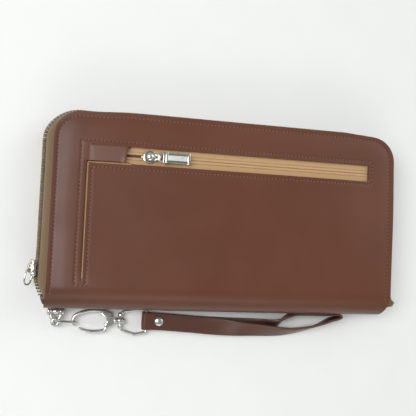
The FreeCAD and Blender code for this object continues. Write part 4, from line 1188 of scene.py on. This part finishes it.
def anchor():
    """Leather tab on the spine, its cross pin, the shackle on the pin and the wire link."""
    x, y, z = PIN
    # the tab is a ply folded round the pin and sewn to the spine
    outline = [(y + 1.7 + 1.5 * math.cos(a), z + 1.5 * math.sin(a))
               for a in np.radians(np.linspace(95, 265, 14))]
    outline += [(CREASE_Y - 9.5, z - 1.4), (CREASE_Y - 9.0, z + 1.6)]
    lay = placed((0, 1, 0), (0, 0, 1), (1, 0, 0))
    b = Build().add(plate(outline, x - 1.45, x + 1.45, 0.35), 0, lay)
    for k in range(3):
        seam = axes((x - 0.9 + 0.9 * k, y + 2.9, z + 1.62), (1, 0, 0), (0, 0.1, 1))
        b.add(tube([(-0.35, 0, 0), (0.35, 0, 0)], 0.16, 6), 1, seam)
    b.make("anchor_leather_tab", [DARK, THREAD], body="back", slot="dark_leather",
           replaces=("anchor_tab",))
    b = Build().add(lathe([(1.05, -3.7), (1.05, 3.7)], PIN, (1, 0, 0), 24))
    b.add(lathe([(1.1, -1.62), (1.75, -1.55), (1.9, -1.3), (1.9, 1.3), (1.75, 1.55), (1.1, 1.62)],
                PIN, (1, 0, 0), 28))
    head = [(0.9, 3.3), (1.95, 3.35), (2.15, 3.6), (2.15, 4.2), (1.85, 4.6), (1.1, 4.82), (0.2, 4.9)]
    for s in (-1, 1):
        b.add(lathe(head, PIN, (s, 0, 0), 28))
    fitting(b, "anchor_cross_pin", "back", "anchor_pin")
    shackle(x, y, z)
    link()


def shackle(x, y, z):
    """Two eyes on the pin, and arms that run together into a thick ring."""
    b = Build()
    for s in (-1, 1):
        eye = circle((x + s * 2.55, y, z), 1.55, 20, (0, 1, 0), (0, 0, 1))
        b.add(tube(eye, 0.62, 10, closed=True, up=(1, 0, 0)))
        arm = curve([(x + s * 2.55, y - 1.6, z), (x + s * 2.45, y - 3.0, z),
                     (x + s * 1.9, BALL_Y + 1.8, z), (x + s * 1.1, BALL_Y + 0.6, z)], 0.4)
        b.add(tube(arm, np.linspace(0.95, 1.15, len(arm)), 12))
    b.add(tube(circle((x, BALL_Y, z), 1.65, 15), 1.12, 14, closed=True, flat=1.3))
    fitting(b, "anchor_shackle_loop", "shackle", "anchor_shackle")


def link():
    wire = 0.55
    mid_z = (LINK_LOW[2] + LINK_HIGH[2]) / 2
    half = (LINK_HIGH[2] - LINK_LOW[2]) / 2 - wire
    x0, x1 = LINK_LOW[0] + wire, LINK_HIGH[0] - wire
    corners = [(x0, -half), (x0, half), (x1, half), (x1, -half)]
    ring = fillet([(a, BALL_Y, mid_z + c) for a, c in corners], [1.3, 1.3, 2.0, 2.0])
    b = Build().add(tube(ring, wire, 12, closed=True, up=(0, 1, 0)))
    fitting(b, "link_wire", "link", "connecting_link")


def clasp():
    """Oval snap hook: an oval of two wide arcs and two round ends, split between hook and gate."""
    half_long, half_wide, end_r = 11.8, 5.9, 3.7
    reach = half_long - end_r
    side_r = (reach ** 2 + half_wide ** 2 - end_r ** 2) / (2 * (half_wide - end_r))
    cx, cy = span("clasp_body")[0][0] + 0.95 + half_long, HW_Y - 0.4
    lean = math.degrees(math.atan2(side_r - half_wide, reach))
    base_x = cx + half_long - 3.2
    top = arc(cx, cy - (side_r - half_wide), side_r, lean + 2, 180 - lean, HW_Z)
    left = arc(cx - reach, cy, end_r, 180 - lean, 180 + 43, HW_Z)
    clasp_hook(np.array(top + left[1:]), base_x, cy)
    pivot = (span("gate_pin")[0] + span("gate_pin")[1]) / 2
    pin = [(0.3, -2.0), (1.15, -1.95), (1.35, -1.7), (1.35, 1.7), (1.2, 2.0), (0.7, 2.12),
           (0.25, 2.14)]
    fitting(Build().add(lathe(pin, pivot, (0, 0, 1), 24)), "clasp_pivot", "clasp", "gate_pin")
    low = arc(cx, cy + (side_r - half_wide), side_r, 180 + lean + 5.0, 270 + 17.5, HW_Z)
    path = curve(low + [tuple(pivot)], 0.5)
    radii = np.interp(np.linspace(0, 1, len(path)), [0, 0.1, 0.35, 0.8, 1],
                      [0.55, 0.75, 1.0, 1.08, 1.0])
    b = Build().add(tube(path, radii, 14))
    b.add(lathe([(0.9, -0.95), (1.3, -0.8), (1.3, 0.8), (0.9, 0.95)], pivot, (0, 0, 1), 24))
    fitting(b, "clasp_spring_gate", "gate", "clasp_gate")
    long = STUD_HIGH[0] - STUD_LOW[0]
    stud = [(0.78, 0.0), (0.78, long - 1.3), (1.35, long - 1.15), (1.5, long - 0.8),
            (1.4, long - 0.3), (0.8, long)]
    b = Build().add(lathe(stud, (STUD_LOW[0], HW_Y, HW_Z), (1, 0, 0), 24))
    fitting(b, "swivel_rivet", "clasp", "swivel_stud")


def clasp_hook(path, base_x, cy):
    """The hook's tapering arm, its diagonal shoulder and the collar of the swivel."""
    radii = np.interp(np.linspace(0, 1, len(path)), [0, 0.15, 0.5, 0.75, 0.9, 1],
                      [1.4, 1.25, 1.15, 1.0, 0.85, 0.7])
    b = Build().add(tube(path, radii, 16))
    b.add(ball(path[-1], 0.64, 16, 8))
    shoulder = [(-5.4, 4.5), (-3.2, 5.1), (1.0, 2.9), (2.7, 2.0), (2.7, -1.3), (-0.8, -3.6),
                (-2.7, -3.4), (-3.4, -1.6), (-1.9, -0.5), (-2.0, 1.4)]
    b.add(plate([(base_x + a, cy + c) for a, c in shoulder], HW_Z - 1.55, HW_Z + 1.55, 0.5, 3))
    collar = [(1.2, 1.6), (1.75, 2.0), (1.95, 2.4), (1.95, 2.8), (1.5, 3.05), (1.85, 3.35),
              (1.85, 3.8), (1.5, 4.2), (0.85, 4.25)]
    b.add(lathe(collar, (base_x, HW_Y, HW_Z), (1, 0, 0), 28))
    fitting(b, "clasp_hook", "clasp", "clasp_body")


def d_ring():
    """D ring with a thick collar round the swivel; its side by the spine is nearly straight."""
    ring_x = STUD_LOW[0] + 3.7
    pts = [(BAR_X, 6.05), (BAR_X, -6.4), (BAR_X - 6.4, -7.6), (ring_x, -5.0), (ring_x, 5.0),
           (BAR_X - 6.4, 6.1)]
    ring = fillet([(x, HW_Y + y, HW_Z) for x, y in pts], [1.0, 1.0, 4.0, 3.4, 3.4, 4.0])
    b = Build().add(tube(ring, 0.9, 16, closed=True))
    half = [(0.95, -1.5), (2.1, -1.4), (2.4, -1.0), (2.4, -0.4), (1.95, -0.1)]
    b.add(lathe(mirrored(half), (ring_x, HW_Y, HW_Z), (1, 0, 0), 28))
    # the wire is swaged thick on both sides of the swivel
    swage = [(1.0, 1.8), (1.35, 2.0), (1.5, 2.6), (1.45, 3.6), (1.2, 4.3), (0.95, 4.6)]
    for s in (-1, 1):
        b.add(lathe(swage, (ring_x, HW_Y, HW_Z), (0, s, 0), 24))
    fitting(b, "swivel_d_ring", "ring", "d_ring")


# ---------------------------------------------------------------- wrist strap
# The strap's middle line: out along the upper ply, round the far end on edge, and back along
# the lower ply.  x, y, z and the roll of its width in degrees, 90 standing on edge.
STRAP_ROUTE = [
    (-37.0, -60.8, 4.35, 0), (-24.0, -61.6, 3.65, 0), (-10.0, -62.6, 3.4, -2),
    (2.0, -63.5, 3.95, -14), (14.0, -64.3, 5.2, -34), (26.0, -64.8, 5.85, -46),
    (33.0, -65.2, 5.5, -53), (39.2, -65.4, 5.25, -60), (45.0, -65.1, 5.25, -67),
    (54.4, -63.6, 5.3, -74), (62.5, -61.4, 5.4, -80), (68.0, -59.2, 5.45, -86),
    (71.7, -57.7, 5.45, -90), (74.4, -57.05, 5.45, -90), (76.2, -55.9, 5.45, -90),
    (74.4, -54.75, 5.45, -90), (71.7, -54.75, 5.45, -90), (68.0, -54.75, 5.45, -90),
    (61.0, -54.75, 5.45, -90), (52.0, -54.75, 5.45, -90), (46.5, -55.1, 5.45, -89),
    (42.0, -57.1, 5.4, -82), (38.0, -59.5, 5.3, -69), (33.3, -61.6, 4.3, -48),
    (26.0, -62.8, 2.8, -24), (14.0, -63.0, 1.75, -10), (2.0, -62.9, 1.25, -3),
    (-10.0, -62.5, 1.15, 0), (-24.0, -61.6, 1.7, 0), (-37.0, -60.8, 2.55, 0),
]
STRAP_TURN = 14
STRAP_W, STRAP_T = 10.0, 1.5


def strap_stations():
    n, out = len(STRAP_ROUTE), []
    for i, (x, y, z, roll) in enumerate(STRAP_ROUTE):
        before = np.array(STRAP_ROUTE[max(i - 1, 0)][:3])
        after = np.array(STRAP_ROUTE[min(i + 1, n - 1)][:3])
        along = unit(after - before)
        if i in (0, n - 1):
            along = np.array([1.0 if i == 0 else -1.0, 0, 0])
        side = 1 if i <= STRAP_TURN else -1
        across = unit((-along[1], along[0], 0)) * side
        r = math.radians(roll)
        width = across * math.cos(r) - np.array([0, 0, 1.0]) * math.sin(r)
        width = unit(width - along * np.dot(width, along))
        out.append((x, y, z, *width))
    r = 1.8                                   # of the fold round the D ring's bar
    fold = [(BAR_X - r * math.sin(a), STRAP_ROUTE[0][1], HW_Z - r * math.cos(a), 0, 1, 0)
            for a in np.radians(np.linspace(0, 180, 9))]
    return out + fold


def strap():
    route = curve(strap_stations(), 0.55, closed=True)
    n = len(route)
    w, t = STRAP_W / 2, STRAP_T / 2
    section = [(-w, 0.0), (-w + 0.10, 0.62), (-w + 0.42, 0.97), (-w + 0.95, 1.0), (-w + 1.35, 0.90),
               (-w + 1.7, 1.0), (-w * 0.5, 1.05), (0, 1.08), (w * 0.5, 1.05), (w - 1.7, 1.0),
               (w - 1.35, 0.90), (w - 0.95, 1.0), (w - 0.42, 0.97), (w - 0.10, 0.62), (w, 0.0),
               (w - 0.10, -0.62), (w - 0.5, -0.97), (w * 0.5, -1.0), (0, -1.0), (-w * 0.5, -1.0),
               (-w + 0.5, -0.97), (-w + 0.10, -0.62)]
    m = len(section)
    edge = {0, 1, 13, 14, 15, 20, 21, 12}
    verts, uvs, faces, mats = [], [], [], []
    run = 0.0
    for i in range(n):
        p = route[i, :3]
        along = unit(route[(i + 1) % n, :3] - route[i - 1, :3])
        width = route[i, 3:]
        width = unit(width - along * np.dot(width, along))
        thick = np.cross(along, width)
        run += np.linalg.norm(p - route[i - 1, :3]) if i else 0
        wave = 0.10 * math.sin(run / 7.3) + 0.06 * math.sin(run / 3.1 + 1)
        for c, h in section:
            cup = 0.10 * (1 - (c / w) ** 2) * math.sin(run / 11)
            verts.append(p + width * (c + wave * 0.4) + thick * (h * t + cup))
            uvs.append((run, c))
    for i in range(n):
        j = (i + 1) % n
        for k in range(m):
            q = (k + 1) % m
            faces.append((i * m + k, i * m + q, j * m + q, j * m + k))
            mats.append(1 if k in edge else 2 if 15 < k < 20 else 0)
    b = Build().add((verts, faces), 0, uv=uvs)
    b.mats = mats
    piece = b.make("wrist_strap_leather", [STRAP, PAINT_EDGE, DARK], body="strap",
                   slot="strap_leather", replaces=("wrist_strap",))
    fix_normals(piece)
    strap_rivet()


def strap_rivet():
    """Domed rivet through both plies, and its base."""
    low, high = span("strap_rivet_cap")
    centre = (low + high) / 2
    r, tall = (high[0] - low[0]) / 2, high[2] - low[2]
    cap = [(r - 0.25, -0.1), (r, 0.0), (r, 0.22), (r - 0.12, 0.38)]
    cap += [((r - 0.15) * math.cos(a), 0.38 + (tall - 0.38) * math.sin(a))
            for a in np.radians(np.linspace(8, 88, 12))]
    b = Build().add(lathe(cap, (centre[0], centre[1], low[2] + 0.02), (0, 0, 1), 36))
    fitting(b, "strap_rivet_dome", "strap", "strap_rivet_cap")
    low, high = span("strap_rivet_back")
    r = (high[0] - low[0]) / 2
    back = [(0.6, -0.05), (r - 0.4, -0.02), (r, 0.2), (r, 0.45), (r - 0.3, 0.65), (0.4, 0.66)]
    b = Build().add(lathe(back, (centre[0], centre[1], low[2]), (0, 0, 1), 32))
    fitting(b, "strap_rivet_base", "strap", "strap_rivet_back")


def fix_normals(piece):
    bm = bmesh.new()
    bm.from_mesh(piece.data)
    bmesh.ops.recalc_face_normals(bm, faces=bm.faces[:])
    bm.to_mesh(piece.data)
    bm.free()


# ---------------------------------------------------------------- inside the wallet
def sheet(x0, x1, y0, y1, height, thickness, hem_top=0.0, step=3.0, corner=0.0):
    """A sheet lying in XY whose middle height comes from a function, with a folded top hem."""
    xs = spaced((x0, x0 + 1.2, 0.6), (x0 + 1.2, x1 - 1.2, step), (x1 - 1.2, x1, 0.6))
    ys = spaced((y0, y0 + 1.2, 0.6), (y0 + 1.2, y1 - 2.4, step), (y1 - 2.4, y1 - 1.8, 0.3),
                (y1 - 1.8, y1, 0.45))
    verts, faces = [], []
    for y in ys:
        short = 0.0
        if corner:
            rise = max(0.0, y - (y1 - corner))
            short = corner - math.sqrt(max(corner ** 2 - min(rise, corner) ** 2, 0))
        for x in xs:
            mid = (x0 + x1) / 2
            xx = mid + (x - mid) * (1 - 2 * short / (x1 - x0))
            edge = min(x - x0, x1 - x, y - y0, y1 - y)
            round_off = thickness / 2 * (0.45 + 0.55 * float(smooth(edge / 0.6)))
            hem = hem_top if y > y1 - 2.0 else 0.0
            verts.append((xx, y, height(xx, y) + round_off + hem))
            verts.append((xx, y, height(xx, y) - round_off - hem))
    n, m = len(ys), len(xs)

    def at(i, j, k):
        return 2 * (i * m + j) + k
    for i in range(n - 1):
        for j in range(m - 1):
            faces.append((at(i, j, 0), at(i, j + 1, 0), at(i + 1, j + 1, 0), at(i + 1, j, 0)))
            faces.append((at(i, j, 1), at(i + 1, j, 1), at(i + 1, j + 1, 1), at(i, j + 1, 1)))
    for i in range(n - 1):
        faces.append((at(i, 0, 0), at(i + 1, 0, 0), at(i + 1, 0, 1), at(i, 0, 1)))
        faces.append((at(i + 1, m - 1, 0), at(i, m - 1, 0), at(i, m - 1, 1), at(i + 1, m - 1, 1)))
    for j in range(m - 1):
        faces.append((at(0, j + 1, 0), at(0, j, 0), at(0, j, 1), at(0, j + 1, 1)))
        faces.append((at(n - 1, j, 0), at(n - 1, j + 1, 0), at(n - 1, j + 1, 1), at(n - 1, j, 1)))
    return verts, faces


def card_slots():
    """Four stepped card pockets inside each cover, hemmed along the top and sewn down."""
    for cover, inward in (("front", -1), ("back", 1)):
        for k in range(1, 5):
            low, high = span(f"{cover}_card_slot_{k}")
            middle = (low[2] + high[2]) / 2

            def height(x, y, k=k):
                return middle + inward * 0.05 * math.sin(x / 19 + k) * math.cos(y / 9)
            b = Build().add(sheet(low[0], high[0], low[1], high[1], height,
                                  high[2] - low[2] - 0.06, hem_top=0.04))
            face = middle + inward * (high[2] - low[2]) / 2
            foot = high[1] - 9.5 if k > 1 else low[1] + 1
            for x in (low[0] + 1.2, high[0] - 1.2):
                sew(b, line(x, foot, x, high[1] - 0.8), face, inward)
            sew(b, line(low[0] + 2.5, high[1] - 2.3, high[0] - 2.5, high[1] - 2.3), face, inward)
            b.make(f"{cover}_card_pocket_{k}", [INNER, THREAD, HOLE_SHADE], body=cover,
                   slot="inner_leather", replaces=(f"{cover}_card_slot_{k}",))


def linings():
    for cover in ("front", "back"):
        low, high = span(f"{cover}_lining")
        middle = (low[2] + high[2]) / 2
        b = Build().add(sheet(low[0], high[0], low[1], high[1],
                              lambda x, y: middle + 0.04 * math.sin(x / 8) * math.sin(y / 6),
                              high[2] - low[2] - 0.08, corner=CORNER - 2))
        b.make(f"{cover}_lining_cloth", [LINING], body=cover, slot="lining_fabric",
               replaces=(f"{cover}_lining",))
    for name in ("pocket_bag_outer", "pocket_bag_inner"):
        low, high = span(name)
        middle = (low[2] + high[2]) / 2
        b = Build().add(sheet(low[0], high[0], low[1], high[1],
                              lambda x, y: middle + 0.05 * math.sin(x / 6 + y / 11),
                              (high[2] - low[2]) * 0.8))
        b.make(f"{name}_cloth", [LINING], body="front", slot="lining_fabric", replaces=(name,))


def gussets():
    """Cloth gussets that fold like a fan between the covers."""
    for name in ("gusset_left", "gusset_right"):
        low, high = span(name)
        sign = -1 if low[0] < 0 else 1
        outer = max(abs(low[0]), abs(high[0]))
        verts = []
        zs = np.linspace(low[2], high[2], 33)
        ys = spaced((low[1], high[1], 3.0))
        for y in ys:
            for z in zs:
                phase = (z - low[2]) / (high[2] - low[2]) * 2
                fold = 2.0 * (1 - math.cos(2 * math.pi * phase)) * 0.98
                wave = 0.2 * math.sin(y / 7 + phase * 3)
                verts.append((sign * (outer - 4.0 + fold - 0.25 + wave), y, z))
        faces = grid_faces(len(ys), len(zs), flip=sign < 0)
        piece = Build().add((verts, faces)).make(
            f"{name}_fan", [LINING], body="back", slot="lining_fabric", replaces=(name,))
        thicken(piece, 0.4)
        piece.parent = None
        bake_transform(piece)


def coin_pocket():
    """Zipped coin pocket between the covers."""
    for side in ("back", "front"):
        coin_panel(side)
        coin_tape(side)
        coin_coil(side)
    coin_edges()
    coin_slider()


def coin_panel(side):
    low, high = span(f"coin_panel_{side}")
    middle, thick = (low[2] + high[2]) / 2, high[2] - low[2]
    outward = -1 if side == "back" else 1
    b = Build().add(sheet(low[0], high[0], low[1], high[1],
                          lambda x, y: middle - outward * 0.05 * math.cos(x / 25),
                          thick * 0.92, hem_top=0.02))
    face = middle + outward * thick * 0.46
    x0, x1, y0, y1 = low[0] + 1.2, high[0] - 1.2, low[1] + 1.2, high[1] - 2.2
    sew(b, line(x0, y1, x0, y0) + line(x0, y0, x1, y0) + line(x1, y0, x1, y1), face, outward)
    sew(b, line(low[0] + 2, high[1] - 1.5, high[0] - 2, high[1] - 1.5), face, outward)
    b.make(f"coin_panel_{side}_leather", [INNER, THREAD, HOLE_SHADE], body="centre",
           slot="inner_leather", replaces=(f"coin_panel_{side}",))


def coin_tape(side):
    low, high = span(f"coin_zip_tape_{side}")
    middle = (low[2] + high[2]) / 2
    b = Build().add(sheet(low[0], high[0], low[1], high[1], lambda x, y: middle,
                          (high[2] - low[2]) * 0.9))
    b.make(f"coin_tape_{side}", [TAN_TAPE], body="centre", slot="tan_tape",
           replaces=(f"coin_zip_tape_{side}",))


def coin_coil(side):
    low, high = span(f"coin_zip_coil_{side}")
    middle = (low[2] + high[2]) / 2
    b, shift = Build(), 0.0 if side == "back" else 0.45
    h = (high[2] - low[2]) / 2 - 0.12
    for x in np.arange(low[0] + 0.5 + shift, high[0] - 0.3, 0.9):
        loop = [(x, low[1] + 0.1, middle - h), (x, high[1] - 0.3, middle - h),
                (x, high[1] - 0.08, middle), (x, high[1] - 0.3, middle + h),
                (x, low[1] + 0.1, middle + h)]
        b.add(tube(loop, 0.2, 6, up=(1, 0, 0)))
    b.make(f"coin_coil_{side}", [TAN_COIL], body="centre", slot="tan_coil",
           replaces=(f"coin_zip_coil_{side}",))


def coin_edges():
    """Leather binding round the pocket's two sides and bottom."""
    low, high = span("coin_pocket_binding")
    b, z0, z1 = Build(), low[2] + 0.02, high[2] - 0.02
    for x0, x1 in ((low[0], low[0] + 2), (high[0] - 2, high[0])):
        b.add(block(x0, x1, low[1], high[1], z0, z1, 0.3))
    b.add(block(low[0], high[0], low[1], low[1] + 2, z0, z1, 0.3))
    b.make("coin_pocket_edges", [INNER], body="centre", slot="inner_leather",
           replaces=("coin_pocket_binding",))


def coin_slider():
    """Plates with a wire eye, and the wire pull in the eye."""
    binding = span("coin_pocket_binding")
    mid = (binding[0][2] + binding[1][2]) / 2
    y0 = span("coin_zip_coil_back")[0][1]
    x = span("coin_slider_body")[0][0]
    lay = placed((1, 0, 0), (0, 0, -1), (0, 1, 0), (0, 0, mid))
    outline = mirrored([(x, -1.1), (x + 1.2, -1.7), (x + 6.0, -1.6), (x + 8.0, -1.0)])
    b = Build().add(plate(outline, y0 + 1.7, y0 + 2.5, 0.2), 0, lay)
    b.add(block(x + 1, x + 5, y0 - 1.2, y0 + 2.1, mid - 0.3, mid + 0.3, 0.1))
    b.add(block(x + 1, x + 7, y0 - 2.0, y0 - 1.2, mid - 0.4, mid + 0.4, 0.12))
    eye = np.array([x + 4, y0 + 3.5, mid])
    b.add(tube(circle(eye, 0.95, 20), 0.3, 10, closed=True))
    fitting(b, "coin_slider_plates", "coin_slider", "coin_slider_body", slot="polished_metal")
    along, side = unit((1, 0.25, 0)), np.array([0, 0, 1.0])
    shape = [(-0.1, -1.2), (-0.1, 1.2), (3.0, 1.45), (8.6, 1.5), (10.0, 0.9), (10.0, -0.9),
             (8.6, -1.5), (3.0, -1.45)]
    points = curve([eye + along * p + side * q for p, q in shape], 0.35, closed=True)
    b = Build().add(tube(points, 0.45, 10, closed=True, up=np.cross(along, side)))
    fitting(b, "coin_pull_wire", "coin_pull", "coin_pull", slot="polished_metal")


# ---------------------------------------------------------------- floor, light and camera
def studio():
    floor_sheet()
    sky()
    area("key_left", (-0.56, 0.10, 1.03), (0.55, 0.80), 9.9, (1.0, 0.99, 1.0))
    area("fill_right", (0.95, 0.55, 0.85), (0.9, 0.9), 4.4)
    area("front_soft", (0.0, -0.95, 0.65), (0.9, 0.35), 2.0)
    bpy.context.scene.view_settings.view_transform = "Standard"


def floor_sheet():
    n = Nodes("pale_floor")
    speck = n.noise(40, 3, 0.5)
    n.set(Base_Color=n.ramp(speck, [(0.3, (0.80, 0.815, 0.80)), (0.7, (0.82, 0.83, 0.815))]),
          Roughness=0.7)
    mesh = bpy.data.meshes.new("floor")
    s = 4.0
    mesh.from_pydata([(-s, -s, 0), (s, -s, 0), (s, s, 0), (-s, s, 0)], [], [(0, 1, 2, 3)])
    mesh.materials.append(n.material)
    floor = bpy.data.objects.new("floor", mesh)
    floor.location.z = -0.05 * MM
    bpy.context.scene.collection.objects.link(floor)


def sky():
    """Grey surroundings, lighter at half height than overhead."""
    world = bpy.data.worlds.new("studio")
    world.use_nodes = True
    tree = world.node_tree
    where = tree.nodes.new("ShaderNodeTexCoord")
    split = tree.nodes.new("ShaderNodeSeparateXYZ")
    ramp = tree.nodes.new("ShaderNodeValToRGB")
    tree.links.new(where.outputs["Generated"], split.inputs[0])
    tree.links.new(split.outputs["Z"], ramp.inputs["Fac"])
    stops = ramp.color_ramp.elements
    stops[0].position, stops[0].color = 0.0, (0.26, 0.27, 0.25, 1)
    stops[1].position, stops[1].color = 0.9, (0.2, 0.21, 0.2, 1)
    stops.new(0.25).color = (0.34, 0.35, 0.33, 1)
    stops.new(0.55).color = (0.55, 0.56, 0.55, 1)
    tree.links.new(ramp.outputs["Color"], tree.nodes["Background"].inputs["Color"])
    tree.nodes["Background"].inputs["Strength"].default_value = 1.0
    bpy.context.scene.world = world


def area(name, where, size, power, colour=(1, 1, 1)):
    """Rectangular lamp aimed at the middle of the wallet's back face."""
    light = bpy.data.lights.new(name, "AREA")
    light.shape, light.size, light.size_y = "RECTANGLE", size[0], size[1]
    light.energy, light.color = power, colour
    lamp = bpy.data.objects.new(name, light)
    lamp.location = where
    lamp.rotation_euler = (-Vector(where)).to_track_quat("-Z", "Y").to_euler()
    bpy.context.scene.collection.objects.link(lamp)


def camera():
    """Above the wallet's left half, tipped a little towards its middle."""
    rx, ry, rz = (math.radians(v) for v in (-3.893, 14.543, -3.382))
    turn = (Matrix.Rotation(rz, 3, "Z") @ Matrix.Rotation(ry, 3, "Y") @ Matrix.Rotation(rx, 3, "X"))
    eye = bpy.data.cameras.new("camera")
    eye.lens, eye.sensor_width = 59.71, 36.0
    eye.clip_start = 0.01
    holder = bpy.data.objects.new("camera", eye)
    place = turn.transposed().to_4x4()
    place.translation = Vector((-110.73, -20.90, 396.05)) * MM
    holder.matrix_world = place
    bpy.context.scene.collection.objects.link(holder)
    bpy.context.scene.camera = holder


dress_cad()
outer_leather()
slit_underlay()
leather_stitching()
main_zip()
end_tab()
main_slider()
pocket_zip()
pocket_slider()
anchor()
clasp()
d_ring()
strap()
card_slots()
linings()
gussets()
coin_pocket()
studio()
camera()
